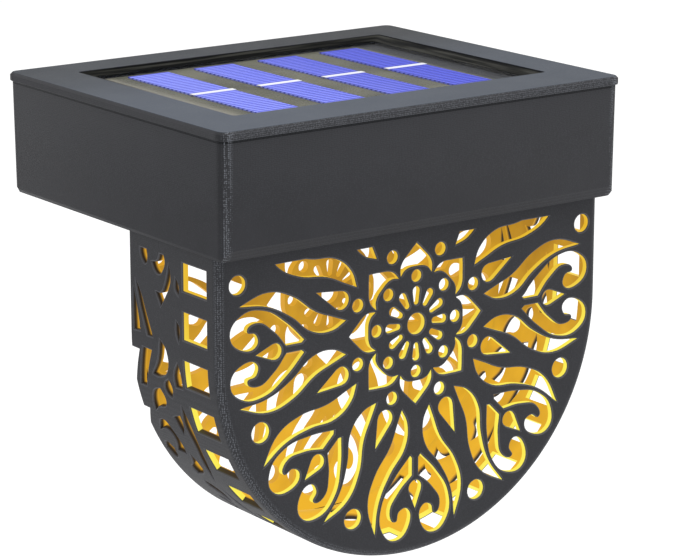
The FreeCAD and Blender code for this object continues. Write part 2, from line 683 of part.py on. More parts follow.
def control_chips():
    top = CONTROL_BOARD_Z + PCB
    driver = block(BUTTON_X + DRIVER_PLACE[0], BUTTON_Y + DRIVER_PLACE[1], top, 0, DRIVER_CHIP)
    coil = prism(COIL_R, top, top + COIL_HEIGHT, BUTTON_X + COIL_PLACE[0], BUTTON_Y + COIL_PLACE[1])
    resistor = block(BUTTON_X + RESISTOR_PLACE[0], BUTTON_Y + RESISTOR_PLACE[1], top, 0, RESISTOR)
    return group([driver, coil, resistor])


def switch_body():
    body = block(BUTTON_X, BUTTON_Y, SWITCH_Z, 0, (SWITCH_SIZE, SWITCH_SIZE, SWITCH_HEIGHT))
    depth = PLUNGER_GRIP + BUTTON_TRAVEL + FIT
    well_r = PLUNGER_R + PLUNGER_FIT
    return body.cut(prism(well_r, SWITCH_Z - OVERSHOOT, SWITCH_Z + depth, BUTTON_X, BUTTON_Y))


def switch_plunger():
    low = BUTTON_FLANGE_Z + BUTTON_FLANGE
    return prism(PLUNGER_R, low, SWITCH_Z + PLUNGER_GRIP, BUTTON_X, BUTTON_Y)


def button_cap():
    low, flange_low = BOTTOM - BUTTON_OUT, BUTTON_FLANGE_Z
    steps = [(BUTTON_R - BUTTON_EDGE, low), (BUTTON_R, low + BUTTON_EDGE), (BUTTON_R, flange_low)]
    steps += [(BUTTON_FLANGE_R, flange_low), (BUTTON_FLANGE_R, flange_low + BUTTON_FLANGE)]
    return stack([ring(r, BUTTON_SIDES, BUTTON_X, BUTTON_Y, z) for r, z in steps])


# ---- battery ----
def lying_rod(radius, x0, x1, y, z):
    rod_up = prism(radius, 0, x1 - x0, 0, 0, BATTERY_SIDES)
    rod_up.rotate(V(0, 0, 0), V(0, 1, 0), 90)
    rod_up.translate(V(x0, y, z))
    return rod_up


def battery_start():
    """Left end of the cell: past the bowed minus contact."""
    return BATTERY_X - HOLDER_ROOM / 2 + CONTACT_LIFT


def battery():
    start = battery_start()
    end = start + BATTERY_LENGTH
    can = lying_rod(BATTERY_R, start, end, BATTERY_Y, BATTERY_Z)
    nub = lying_rod(BATTERY_NUB_R, end - CONTACT, end + BATTERY_NUB, BATTERY_Y, BATTERY_Z)
    return can.fuse(nub).removeSplitter()


def battery_holder():
    size = (HOLDER_LENGTH, HOLDER_WIDTH, HOLDER_WALL + HOLDER_SIDE_HEIGHT)
    outer = block(BATTERY_X, BATTERY_Y, FLOOR_TOP, 0, size)
    room = (HOLDER_ROOM, HOLDER_WIDTH - 2 * HOLDER_WALL, HOLDER_SIDE_HEIGHT + OVERSHOOT)
    return outer.cut(block(BATTERY_X, BATTERY_Y, FLOOR_TOP + HOLDER_WALL, 0, room))


def battery_contact_plus():
    x = BATTERY_X + HOLDER_ROOM / 2 - CONTACT / 2
    low = FLOOR_TOP + HOLDER_WALL
    return block(x, BATTERY_Y, low, 0, (CONTACT, CONTACT_WIDTH, BATTERY_Z + CONTACT_ABOVE_AXIS - low))


def battery_contact_minus():
    """A leaf folded out from its wall to press on the cell."""
    x = BATTERY_X - HOLDER_ROOM / 2
    low, high = FLOOR_TOP + HOLDER_WALL, BATTERY_Z + CONTACT_ABOVE_AXIS
    middle = (low + high) / 2
    foot = 2 * CONTACT
    outer = [(x, low), (x + CONTACT_LIFT, middle - foot), (x + CONTACT_LIFT, middle + foot), (x, high)]
    back = x + CONTACT_LIFT - CONTACT
    inner = [(x, high - foot), (back, middle + foot / 2), (back, middle - foot / 2), (x, low + foot)]
    leaf = polygon(outer + inner).extrude(V(0, CONTACT_WIDTH, 0))
    leaf.translate(V(0, BATTERY_Y - CONTACT_WIDTH / 2, 0))
    return leaf


# ---- lampshade ----
def shade_outline(radius, y):
    """The D: straight sides down from the box, then a half circle."""
    c, top = SHADE_CENTRE_Z, BOTTOM
    edges = [
        Part.LineSegment(V(-radius, y, top), V(-radius, y, c)).toShape(),
        Part.Arc(V(-radius, y, c), V(0, y, c - radius), V(radius, y, c)).toShape(),
        Part.LineSegment(V(radius, y, c), V(radius, y, top)).toShape(),
        Part.LineSegment(V(radius, y, top), V(-radius, y, top)).toShape(),
    ]
    return Part.Face(Part.Wire(edges))


def shade_block():
    """The D with its rounded front edge: a profile turned through the half circle, run up to the box."""
    r, depth = SHADE_R, SHADE_DEPTH
    profile = [(0, 0)]
    for k in range(SHADE_EDGE_CHORDS + 1):
        a = math.pi / 2 * k / SHADE_EDGE_CHORDS
        profile.append((r - SHADE_EDGE_R * (1 - math.sin(a)), SHADE_EDGE_R * (1 - math.cos(a))))
    profile += [(r, depth), (0, depth)]
    centre = V(0, SHADE_FRONT, SHADE_CENTRE_Z)
    half = flat([centre + V(x, y, 0) for x, y in profile])
    low = half.revolve(centre, V(0, 1, 0), 180)
    up = half.extrude(V(0, 0, BOTTOM - SHADE_CENTRE_Z))
    return low.fuse([up, up.mirror(V(0, 0, 0), V(1, 0, 0))]).removeSplitter()


def front_cuts():
    cuts = []
    for face in mandala():
        cut = face.extrude(V(0, SHADE_WALL + 2 * OVERSHOOT, 0))
        cut.translate(V(0, SHADE_FRONT - OVERSHOOT, FLOWER_Z))
        cuts.append(cut)
    return cuts


def rim_length():
    """Along the rim from the box to the lowest line."""
    return BOTTOM - SHADE_CENTRE_Z + math.pi * SHADE_R / 2


def rim_cut(outline):
    """A straight cutter through the right side of the rim; the outline is (depth, below the box)."""
    middle = (min(s for y, s in outline) + max(s for y, s in outline)) / 2
    straight = BOTTOM - SHADE_CENTRE_Z
    low = SHADE_INNER_R - 2 * OVERSHOOT
    corners = [V(low, SHADE_FRONT + y, SHADE_CENTRE_Z + middle - s) for y, s in outline]
    cut = flat(corners).extrude(V(SHADE_R + OVERSHOOT - low, 0, 0))
    if middle < straight:
        cut.translate(V(0, 0, straight - middle))
    else:
        turn = math.degrees((middle - straight) / SHADE_R)
        cut.rotate(V(0, 0, SHADE_CENTRE_Z), V(0, 1, 0), turn)
    return cut


def windows():
    """Evenly spaced down the side; the last one is centred on the lowest line."""
    middles = [WINDOW_FIRST]
    while middles[-1] + 1.5 * WINDOW_PITCH < rim_length():
        middles.append(middles[-1] + WINDOW_PITCH)
    middles.append(rim_length())
    front, back = WINDOW_FRONT, WINDOW_FRONT + WINDOW_DEPTH
    half = WINDOW_LENGTH / 2
    return [[(front, s - half), (back, s - half), (back, s + half), (front, s + half)] for s in middles]


def notch(deepest, first, last):
    """A slanted bite out of the rear edge of the rim."""
    past = SHADE_DEPTH + OVERSHOOT
    return [(past, first), (deepest, first), (SHADE_DEPTH, last), (past, last)]


def leaf_band():
    lower = [[(y, BAND_MIRROR - s) for y, s in outline] for outline in BAND_TWICE]
    return BAND_ONCE + BAND_TWICE + lower + [notch(*place) for place in BAND_NOTCHES]


def rim_dot(y, radius):
    """A round opening on the lowest line of the rim."""
    angles = [2 * math.pi * (k + 0.5) / SMALL_SIDES for k in range(SMALL_SIDES)]
    return [(y + radius * math.cos(a), rim_length() + radius * math.sin(a)) for a in angles]


def rim_cuts():
    """Cuts on both sides of the rim; those on its lowest line are made once."""
    cuts = [rim_cut(rim_dot(*place)) for place in BAND_MIDDLE]
    for outline in windows() + leaf_band():
        cut = rim_cut(outline)
        cuts.append(cut)
        if max(s for y, s in outline) < rim_length():
            cuts.append(cut.mirror(V(0, 0, 0), V(1, 0, 0)))
    return cuts


def lampshade():
    inner = shade_outline(SHADE_INNER_R, SHADE_FRONT + SHADE_WALL).extrude(V(0, SHADE_DEPTH, 0))
    shell = shade_block().cut(inner)
    ears = []
    for x, y in shade_screw_places():
        side = math.copysign(SHADE_INNER_R - EAR_LENGTH / 2, x)
        size = (EAR_LENGTH, EAR_WIDTH, EAR_THICKNESS)
        ears.append(block(side, y, BOTTOM, -EAR_THICKNESS, size))
    shell = shell.fuse(ears).removeSplitter()
    holes = [pilot_hole(BOTTOM - EAR_THICKNESS - OVERSHOOT, BOTTOM + OVERSHOOT, x, y)
             for x, y in shade_screw_places()]
    return shell.cut(front_cuts() + rim_cuts() + holes)


def shade_screws():
    seat = BOTTOM - EAR_THICKNESS
    return group([screw_up(x, y, seat, SHORT_SCREW_LENGTH) for x, y in shade_screw_places()])


def rear_cuts():
    faces = [disc(0, 0, REAR_EYE_R, LARGE_SIDES)]
    faces += [turned(tapered_slot(*REAR_PETAL), k * 360 / REAR_PETALS) for k in range(REAR_PETALS)]
    ring = disc(0, REAR_RING, REAR_RING_R, LARGE_SIDES)
    faces += [turned(ring, (k + 0.5) * 360 / REAR_RING_COUNT) for k in range(REAR_RING_COUNT)]
    fan = tapered_slot(*REAR_FAN)
    faces += [turned(fan, (k + 0.5) * 360 / REAR_FAN_COUNT) for k in range(REAR_FAN_COUNT)]
    limit = BOTTOM - REAR_TOP_MARGIN
    cuts = []
    for face in faces:
        cut = face.extrude(V(0, REAR_PANEL_THICKNESS + 2 * OVERSHOOT, 0))
        cut.translate(V(0, rear_panel_front() - OVERSHOOT, SHADE_CENTRE_Z))
        if cut.BoundBox.ZMax < limit:
            cuts.append(cut)
    return cuts


def rear_panel():
    plate = shade_outline(SHADE_INNER_R - FIT, rear_panel_front())
    solid = plate.extrude(V(0, REAR_PANEL_THICKNESS, 0))
    tabs = []
    for x, y in tab_screw_places():
        middle = rear_panel_front() - TAB_LENGTH / 2
        tabs.append(block(x, middle, BOTTOM, -TAB_THICKNESS, (TAB_WIDTH, TAB_LENGTH, TAB_THICKNESS)))
    solid = solid.fuse(tabs).removeSplitter()
    holes = [pilot_hole(BOTTOM - TAB_THICKNESS - OVERSHOOT, BOTTOM + OVERSHOOT, x, y)
             for x, y in tab_screw_places()]
    return solid.cut(rear_cuts() + holes)


def rear_panel_screws():
    seat = BOTTOM - TAB_THICKNESS
    return group([screw_up(x, y, seat, SHORT_SCREW_LENGTH) for x, y in tab_screw_places()])


def all_parts():
    parts = {
        "bezel": bezel(),
        "housing_seal": housing_seal(),
        "panel_tape": panel_tape(),
        "panel_board": panel_board(),
        "cell_ribbons": cell_ribbons(),
        "panel_gasket": panel_gasket(),
        "panel_window": panel_window(),
        "housing": housing(),
        "bezel_screws": bezel_screws(),
        "light_window": light_window(),
        "led_board": led_board(),
        "leds": leds(),
        "led_board_screws": board_screws(led_board_screw_places(), LED_BOARD_Z + PCB, LED_SCREW_LENGTH),
        "control_board": control_board(),
        "control_chips": control_chips(),
        "control_board_screws": board_screws(
            control_board_screw_places(), CONTROL_BOARD_Z + PCB, CONTROL_SCREW_LENGTH
        ),
        "switch_body": switch_body(),
        "switch_plunger": switch_plunger(),
        "button_cap": button_cap(),
        "battery": battery(),
        "battery_holder": battery_holder(),
        "battery_contact_plus": battery_contact_plus(),
        "battery_contact_minus": battery_contact_minus(),
        "lampshade": lampshade(),
        "shade_screws": shade_screws(),
        "rear_panel": rear_panel(),
        "rear_panel_screws": rear_panel_screws(),
    }
    for number, x in enumerate(cell_places(), start=1):
        parts[f"solar_cell_{number}"] = solar_cell(x)
    return parts


def main():
    os.makedirs("parts", exist_ok=True)
    for name, shape in all_parts().items():
        if not shape.isValid():
            raise ValueError(f"{name} is not a valid shape")
        shape.exportStep(f"parts/{name}.step")
        print(name, len(shape.Solids), round(shape.Volume, 2))


main()
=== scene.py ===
import math

import bmesh
import bpy
from bmesh.types import BMEdge, BMFace, BMVert
from mathutils import Matrix, Vector
from mathutils.kdtree import KDTree

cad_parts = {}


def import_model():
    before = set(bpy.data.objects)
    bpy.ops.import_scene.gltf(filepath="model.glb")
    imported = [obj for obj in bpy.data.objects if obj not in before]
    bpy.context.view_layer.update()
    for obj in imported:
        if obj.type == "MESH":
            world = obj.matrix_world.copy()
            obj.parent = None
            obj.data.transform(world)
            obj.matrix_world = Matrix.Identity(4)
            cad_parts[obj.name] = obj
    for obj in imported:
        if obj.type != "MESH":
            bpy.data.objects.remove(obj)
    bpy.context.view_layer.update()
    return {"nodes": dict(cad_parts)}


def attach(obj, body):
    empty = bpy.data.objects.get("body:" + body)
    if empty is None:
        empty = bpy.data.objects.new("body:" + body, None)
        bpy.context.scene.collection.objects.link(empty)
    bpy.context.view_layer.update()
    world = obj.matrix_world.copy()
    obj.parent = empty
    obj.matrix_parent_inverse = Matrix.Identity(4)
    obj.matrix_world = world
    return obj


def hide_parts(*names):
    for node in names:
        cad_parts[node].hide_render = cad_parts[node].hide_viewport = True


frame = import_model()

# A solar fence light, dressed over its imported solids. Shapes are worked out in millimetres from the
# part's own origin and made metres when a piece is finished. +X right, +Y towards the fence, +Z up.
MM = 0.001

# ---- box ----
BOX_BOTTOM = -14.5
BOX_MIDDLE_Y = -40.0
LIP_TOP = 11.0
LIP_BOTTOM = 9.2
CHAMFER_TOP = -12.3
CHAMFER_WIDTH = 1.15
CORNER_MIDDLE = 47.7  # the upright corners turn about this distance from the middle
CORNER_R = 0.5  # their radius at the very bottom
SIDE_EASE = 0.65  # the share that the chamfer loses on the left and right
BOX_ROUND = 0.25
LIP_ROUND = 0.2

# ---- lampshade ----
SHADE_R = 48.2
SHADE_FRONT = -75.6
SHADE_DEPTH = 31.6
SHADE_WALL = 1.45
EDGE_R = 2.0
ROUND = 0.32  # rounded outer edge of every opening
HALFWAY = 0.29  # 1 - cos 45 degrees: where that round is half done
ROOM_SHARE = 0.36  # of the web between two openings, the most that each round may take
MITRE_LIMIT = 1.5  # a sharp corner moves at most this many times as far
WELD = 0.0005  # corners of one skin that are nearer than this are one
SEAM = 0.002  # the same for parts that are made apart and meet
ARC_CENTRE_Z = -35.8
STRAIGHT = BOX_BOTTOM - ARC_CENTRE_Z
FLOWER_Z = -35.0
FLOWER_TOP = 17.5
LEAST_CUT_AREA = 1.5  # an opening cut off to less than this is left out
ARC_STEPS = 96
FILLET_STEPS = 8
FILLET_LENGTH = EDGE_R * math.pi / 2
RIM_LENGTH = 2 * STRAIGHT + math.pi * SHADE_R
EAR = (8.4, 9.0, 2.0)
EAR_HOLES = [(41.3, -62.6), (41.3, -50.6)]  # screw axes on the right; the left ones mirror them
EAR_BITE = 0.1  # how far an ear reaches into the wall
HOLE_R = 1.15
HOLE_CHORDS = 3

# ---- front pattern: (sideways, up) from the middle of the flower ----
SPRAYS = 8
PETALS = 12
PETAL = (4.6, 0.6, 6.85, 0.9)
DROP = (20.35, 1.9, 26.9, 0.0)
KNOT = (34.9, 1.65, 39.4, 0.0)
BUD = (0.0, 10.0, 1.25)
PEARL = (0.0, 15.9, 1.35)
RIM_PEARL = (0.0, 41.6, 2.1)
RIM_PEARL_PLACES = (2, 3, 4, 5)  # the upper ones would leave the plate
CORNER_PEARL = (43.6, 14.7, 1.9)
EYE_R = 2.2
# an outline is a list of (sideways, up), with True after them at a sharp point
LOTUS = [
    (0.0, 16.8, True), (1.7, 15.2), (3.9, 12.5), (4.0, 10.2, True), (2.8, 11.55), (0.0, 12.05),
    (-2.8, 11.55), (-4.0, 10.2, True), (-3.9, 12.5), (-1.7, 15.2),
]
LEAF = [
    (3.5, 17.6, True), (4.6, 20.4), (6.4, 24.9), (10.4, 30.6), (12.1, 36.4), (10.3, 43.2, True),
    (9.3, 36.5), (6.4, 30.8), (2.6, 25.8), (2.0, 21.0),
]
SCROLL = [
    (0.8, 28.4, True), (1.3, 27.8, True), (5.5, 32.2), (8.7, 37.6), (8.4, 42.8), (4.9, 45.4),
    (1.5, 42.6), (1.9, 39.1), (4.1, 39.3), (5.1, 41.4), (6.5, 39.3), (4.3, 35.2), (0.8, 32.1, True),
]

# ---- rim: (from the front plate's face, along the rim from the box) ----
WINDOW_FRONT = 4.2
WINDOW_DEPTH = 8.3
WINDOW_LENGTH = 5.6
WINDOW_PITCH = 9.9
WINDOW_FIRST = 6.0
BAND_ONCE = [
    [(27.7, 3.0, True), (25.4, 3.0, True), (25.2, 4.2), (25.8, 5.9), (26.7, 5.5), (27.6, 4.1)],
    [(23.5, 5.1, True), (22.4, 6.7), (20.9, 7.1), (19.6, 6.0), (18.9, 4.3), (19.3, 3.0, True),
     (20.6, 3.0, True), (21.4, 4.5)],
    [(17.4, 4.4, True), (16.9, 7.3), (17.5, 9.2), (19.0, 11.5), (20.5, 13.6, True),
     (22.2, 10.9, True), (20.2, 10.8), (18.9, 9.0), (18.2, 7.3)],
    [(15.0, 6.6, True), (14.0, 8.2), (14.0, 10.1, True), (15.2, 9.0)],
    [(30.5, 11.5, True), (29.2, 15.7), (28.1, 20.2, True), (30.5, 20.4, True), (30.7, 15.5)],
    [(29.6, 9.8, True), (27.6, 12.6), (26.2, 15.5), (23.6, 20.6, True), (25.6, 20.6, True),
     (27.0, 17.5), (28.6, 13.5)],
    [(15.0, 15.4, True), (14.0, 16.4), (14.1, 19.8, True), (15.0, 18.0)],
    [(14.8, 24.0, True), (14.0, 27.0), (14.0, 29.3, True), (16.4, 29.4, True), (16.6, 27.4),
     (15.8, 25.4)],
    [(18.9, 28.5, True), (18.0, 30.2), (18.7, 32.4, True), (20.4, 31.6), (20.6, 29.8)],
    [(20.3, 37.2, True), (17.7, 36.3, True), (17.5, 38.0), (18.8, 41.3, True)],
    [(30.2, 48.0, True), (28.4, 45.8), (26.8, 47.0, True), (28.2, 50.2)],
]
BAND_TWICE = [
    [(27.4, 23.5, True), (24.2, 23.5, True), (28.0, 32.0, True), (30.0, 32.0, True)],
    [(21.0, 20.5, True), (18.8, 22.5), (18.8, 26.4), (22.6, 28.6), (24.4, 28.4, True),
     (22.0, 25.0)],
    [(22.8, 31.4, True), (21.6, 33.4), (22.4, 35.2), (25.0, 35.9), (27.0, 37.3, True),
     (26.7, 34.8), (25.0, 32.2)],
    [(15.8, 33.4, True), (14.5, 38.0), (14.4, 43.0), (15.6, 49.0), (17.4, 53.5, True),
     (16.8, 48.0), (16.2, 43.0), (16.8, 38.0)],
    [(28.4, 42.5, True), (25.5, 39.2), (23.2, 41.0), (21.9, 44.6), (22.2, 47.2, True),
     (25.2, 47.1, True), (23.8, 44.0), (24.6, 41.8), (26.4, 41.6)],
    [(20.4, 46.5, True), (19.2, 49.6), (19.8, 51.6), (23.4, 53.4, True), (23.9, 51.8),
     (22.0, 49.8)],
]
BAND_MIRROR = 109.0  # the lower half of the band repeats the upper one, turned over
BAND_NOTCHES = [(28.8, 24.3, 31.4), (29.4, 37.6, 41.6)]
BAND_MIDDLE = [(17.0, 1.5), (22.6, 2.3), (28.0, 1.6)]
BAND_START = 13.4  # behind this the cut walls get painted shade
RIM_CHORDS = 4  # in each smooth stretch of an outline

# ---- rear panel ----
REAR_FRONT = -45.8
REAR_THICKNESS = 1.6
REAR_R = 46.3
REAR_LIMIT = -19.5  # its openings stay below this, clear of the tabs
TAB = (9.0, 9.0, 2.0)
TAB_HOLES = [(-20.0, -50.3), (20.0, -50.3)]
TAB_BITE = 0.05
REAR_EDGE = 0.12  # its broken edges

# ---- screws: node, axes, seat, length, whether the head hangs below its seat ----
SCREW_HEAD_R = 2.2
SCREW_HEAD_HEIGHT = 1.5
SCREW_SHANK_R = 1.1
SCREWS = [
    ("bezel_screws", [(x, y) for x in (-42.5, 42.5) for y in (-6.4, -70.0)], -8.5, 9.0, True),
    ("shade_screws", [(side * x, y) for x, y in EAR_HOLES for side in (-1, 1)],
     BOX_BOTTOM - EAR[2], 6.5, True),
    ("rear_panel_screws", TAB_HOLES, BOX_BOTTOM - TAB[2], 6.5, True),
    ("led_board_screws", [(-25.6, -60.6), (25.6, -60.6)], -7.7, 3.6, False),
    ("control_board_screws", [(-39.6, -16.4), (-16.4, -31.6)], -2.05, 6.0, False),
]

# ---- plastic: dots of grain in a millimetre, and colours, 0 to 255 ----
GRAIN = 2.7
SHELL = (48, 48, 50), (56, 56, 59)
# painted highlight: a lighter charcoal for the rounded edges of the shade's openings
SHELL_EDGE_HIGHLIGHT = (76, 76, 79), (84, 84, 88)
# painted highlight: the colour of the grain's dots where the surface turns
GRAIN_GLINT = (106, 109, 115)
# painted sheen on the top of the lip: dim at the back right, lighter and bluer at the front left
LIP_TOP_DIM, LIP_TOP_SHEEN = (38, 40, 43), (68, 74, 84)
# painted lamplight on the cut walls of the shade
GLOW_HIGH, GLOW_LOW = (226, 176, 40), (255, 246, 92)
EMBER = (214, 158, 40)
WHITE = (1.0, 1.0, 1.0, 1.0)  # as light

# ---- camera, as the photograph was taken, and the light ----
CAMERA_PLACE = (-0.34379, -0.51680, 0.11945)
CAMERA_AIM = (0.57337, 0.77978, -0.25136)
CAMERA_LENS = 152.25
SENSOR_WIDTH = 36.0
FLOOR_Z = -0.150
FLOOR_R = 4.0
FLOOR_GREY = 0.5
FLOOR_GLOW = 0.62  # with the light that falls on it, the floor shows as white
SKY_LEVEL = 0.72
LAMP_PLACE = (-0.04, -0.34, 1.2)
LAMP_AIM = (0, -0.04, -0.03)
LAMP_SIZE = 0.9
LAMP_POWER = 11.0


# ---- shaders ----
class Value:
    """A shader socket that does arithmetic by adding Math nodes to its material."""

    def __init__(self, material, socket):
        self.material = material
        self.socket = socket

    def _math(self, operation, *others):
        inputs = dict(enumerate((self, *others)))
        return self.material.node("ShaderNodeMath", {"operation": operation}, inputs)

    def __add__(self, other):
        return self._math("ADD", other)

    def __sub__(self, other):
        return self._math("SUBTRACT", other)

    def __mul__(self, other):
        return self._math("MULTIPLY", other)

    def __rsub__(self, other):
        return self * -1.0 + other

    __radd__ = __add__
    __rmul__ = __mul__

    def above(self, limit):
        return self._math("GREATER_THAN", limit)

    def below(self, limit):
        return self._math("LESS_THAN", limit)

    def absolute(self):
        return self._math("ABSOLUTE")

    def root(self):
        return self._math("SQRT")

    def at_most(self, limit):
        return self._math("MINIMUM", limit)

    def wrapped(self, period):
        return self._math("WRAP", period, 0.0)

    def ramp(self, low, high):
        """0 at low and 1 at high, smooth between."""
        settings = {"interpolation_type": "SMOOTHSTEP"}
        return self.material.node("ShaderNodeMapRange", settings, {0: self, 1: low, 2: high})


class Finish:
    """A material made of nodes, with one Principled shader."""

    def __init__(self, name, **plain):
        self.data = bpy.data.materials.new(name)
        self.data.use_nodes = True
        self.tree = self.data.node_tree
        self.shader = self.tree.nodes["Principled BSDF"]
        for socket, value in plain.items():
            self.set(socket.replace("_", " "), value)

    def set(self, socket, value):
        target = self.shader.inputs[socket]
        if isinstance(value, Value):
            self.tree.links.new(value.socket, target)
        else:
            target.default_value = value

    def node(self, kind, settings=None, inputs=None, output=0):
        """One output of a new node with these settings, and inputs that are Values or numbers."""
        node = self.tree.nodes.new(kind)
        for name, value in (settings or {}).items():
            setattr(node, name, value)
        for name, value in (inputs or {}).items():
            if isinstance(value, Value):
                self.tree.links.new(value.socket, node.inputs[name])
            else:
                node.inputs[name].default_value = value
        return Value(self, node.outputs[output])

    def split(self, vector):
        """The three numbers of a vector."""
        node = self.tree.nodes.new("ShaderNodeSeparateXYZ")
        self.tree.links.new(vector.socket, node.inputs[0])
        return [Value(self, out) for out in node.outputs]

    def place(self):
        """Object coordinates in millimetres, as a vector and as its three numbers."""
        spot = self.node("ShaderNodeTexCoord", output="Object")
        inputs = {0: spot, "Scale": 1 / MM}
        scaled = self.node("ShaderNodeVectorMath", {"operation": "SCALE"}, inputs)
        return scaled, self.split(scaled)

    def facing(self):
        """Which way the surface looks, as three numbers."""
        return self.split(self.node("ShaderNodeTexCoord", output="Normal"))

    def noise(self, spot, scale, detail=3.0):
        inputs = {"Vector": spot, "Scale": scale, "Detail": detail, "Roughness": 0.5}
        return self.node("ShaderNodeTexNoise", None, inputs)

    def cells(self, spot, scale):
        """Distance from the middle of the nearest small round cell."""
        settings = {"voronoi_dimensions": "3D", "feature": "F1"}
        inputs = {"Vector": spot, "Scale": scale, "Randomness": 0.35}
        return self.node("ShaderNodeTexVoronoi", settings, inputs)

    def stretched(self, spot, scale):
        """A vector with each of its numbers scaled on its own."""
        return self.node("ShaderNodeVectorMath", {"operation": "MULTIPLY"}, {0: spot, 1: scale})

    def spread(self, level, low, high):
        """0 at low and 1 at high, straight between."""
        return self.node("ShaderNodeMapRange", None, {0: level, 1: low, 2: high})

    def blend(self, factor, first, second):
        """The first colour where the factor is 0, the second where it is 1; each is a Value or
        three numbers from 0 to 255."""
        first, second = (c if isinstance(c, Value) else rgb(*c) for c in (first, second))
        inputs = {0: factor, 6: first, 7: second}
        return self.node("ShaderNodeMix", {"data_type": "RGBA"}, inputs, 2)

    def bump(self, height, strength, distance):
        inputs = {"Height": height, "Strength": strength, "Distance": distance}
        self.set("Normal", self.node("ShaderNodeBump", None, inputs))


def rgb(red, green, blue):
    """A colour as a picture program shows it, 0 to 255, made linear."""
    channels = [c / 255 for c in (red, green, blue)]
    return [c / 12.92 if c <= 0.04045 else ((c + 0.055) / 1.055) ** 2.4 for c in channels] + [1.0]


def charcoal(name, dark, light):
    """Moulded charcoal plastic. Its fine grain is faint on the flat faces; where the surface turns,
    at the front of the box's upright corners and of its lip and at the shade's front edge, its dots
    are painted lighter, a painted highlight of the grain catching the light. The top of the lip has a
    painted sheen, and the seam under the lip and the side faces beside the upright corners have
    painted shade."""
    finish = Finish(name, IOR=1.45)
    spot, (x, y, z) = finish.place()
    cloud = finish.noise(spot, 0.12)
    stipple = finish.cells(spot, GRAIN)
    dot = stipple.ramp(0.52, 0.24)

    in_box = z.above(BOX_BOTTOM)
    turn = x.absolute().ramp(46.9, 48.1) * (y - BOX_MIDDLE_Y).absolute().ramp(36.9, 38.1) * in_box
    beside = x.absolute().ramp(48.8, 49.1)
    corner = turn * (1.0 - beside)
    shade_edge = y.ramp(SHADE_FRONT + 1.9, SHADE_FRONT + 0.9) * (1.0 - in_box)
    shade_edge = shade_edge * y.ramp(SHADE_FRONT + 0.02, SHADE_FRONT + 0.3)
    lip_side = z.above(LIP_BOTTOM) * z.below(LIP_TOP - 0.02)
    lip_front = lip_side * y.ramp(-79.0, -79.8)
    turning = corner * 0.8 + shade_edge * 0.7 + lip_front * 0.45 + 0.07

    ground = finish.blend(cloud, dark, light)
    # painted shade: the side faces beside the upright corners are darker
    ground = finish.blend(turn * beside * 0.35, ground, (24, 24, 26))
    # painted shade: a dark line in the seam under the lip
    lip_seam_shade = (z - (LIP_BOTTOM - 0.22)).absolute().below(0.3)
    ground = finish.blend(lip_seam_shade * 0.75, ground, (14, 14, 15))
    # painted sheen: the top of the lip is lighter and bluer towards the front and the left
    near = y.ramp(-4.0, -52.0) * 0.75 + x.ramp(40.0, -40.0) * 0.25
    painted_lip_sheen = finish.blend(near, LIP_TOP_DIM, LIP_TOP_SHEEN)
    ground = finish.blend(z.above(LIP_TOP - 0.05), ground, painted_lip_sheen)
    # painted highlight: the grain's dots are lighter where the surface turns
    finish.set("Base Color", finish.blend(dot * turning, ground, GRAIN_GLINT))
    finish.set("Roughness", cloud * 0.10 + stipple * 0.10 + 0.42)
    finish.bump(stipple, 0.35, 0.00010)
    finish.set("Specular IOR Level", 0.13)
    finish.set("Specular Tint", (0.84, 0.91, 1.0, 1.0))
    return finish


def lit_inside():
    """The inner face of the shade, with painted lamplight: it glows as if lit by the lamp, browner
    near the box, golden lower down.
    """
    finish = Finish("painted_glow_inside", Roughness=0.5, Emission_Strength=0.92)
    spot, (_, _, z) = finish.place()
    cloud = finish.noise(spot, 0.10, 2.0)
    streak = finish.noise(spot, 0.32, 1.0)
    level = z * 0.014 + cloud * 0.9 - streak * 0.25
    tone = finish.spread(level, -0.75, 0.22)
    colour = finish.blend(tone, (236, 182, 48), (160, 114, 30))
    finish.set("Base Color", finish.blend(tone, (96, 70, 26), (64, 46, 22)))
    finish.set("Emission Color", colour)
    finish.set("Specular IOR Level", 0.15)
    finish.bump(finish.noise(spot, 1.5), 0.15, 0.0001)
    return finish


def lit_cut():
    """Cut walls, with painted lamplight: they glow bright where the lamp reaches the front plate and
    windows, and have painted shade on the sills of the lower windows and in the leaf band, where only
    the inner end glows."""
    finish = Finish("painted_glow_cut_wall", Roughness=0.5, Emission_Strength=1.0)
    spot, (x, y, z) = finish.place()
    cloud = finish.noise(spot, 0.25, 2.0)
    low = z.ramp(-22.0, -50.0)
    drop = (z - ARC_CENTRE_Z).at_most(0.0)
    away = (x * x + drop * drop).root()
    in_rim = y.ramp(SHADE_FRONT + SHADE_WALL, SHADE_FRONT + SHADE_WALL + 0.2)
    deep = (1.0 - in_rim) * (y - SHADE_FRONT) + in_rim * (away * -1.0 + SHADE_R)
    inner = deep * (1 / SHADE_WALL)
    level = low * 0.7 + cloud * 0.4 - inner * 0.15
    glow = finish.blend(level, GLOW_HIGH, GLOW_LOW)

    across, _, upward = finish.facing()
    side = 1.0 - x.above(0.0) * 2.0
    uphill = (across * drop - upward * x) * side
    # painted shade: the sills of the lower windows are dark but for their glowing inner end
    sill = uphill.ramp(0.3 * SHADE_R, 0.6 * SHADE_R) * in_rim * z.ramp(-36.0, -41.0)
    sill_shade_colour = finish.blend(inner.ramp(0.8, 1.0), (30, 30, 31), EMBER)
    glow = finish.blend(sill, glow, sill_shade_colour)

    # painted shade: the cut walls of the leaf band are dark but for their glowing inner end
    in_band = y.ramp(SHADE_FRONT + BAND_START - 0.6, SHADE_FRONT + BAND_START)
    band_shade_and_glow = finish.blend(inner.ramp(0.45, 1.0), (26, 25, 25), EMBER)
    finish.set("Base Color", rgb(50, 40, 24))
    finish.set("Emission Color", finish.blend(in_band, glow, band_shade_and_glow))
    finish.set("Specular IOR Level", 0.15)
    return finish


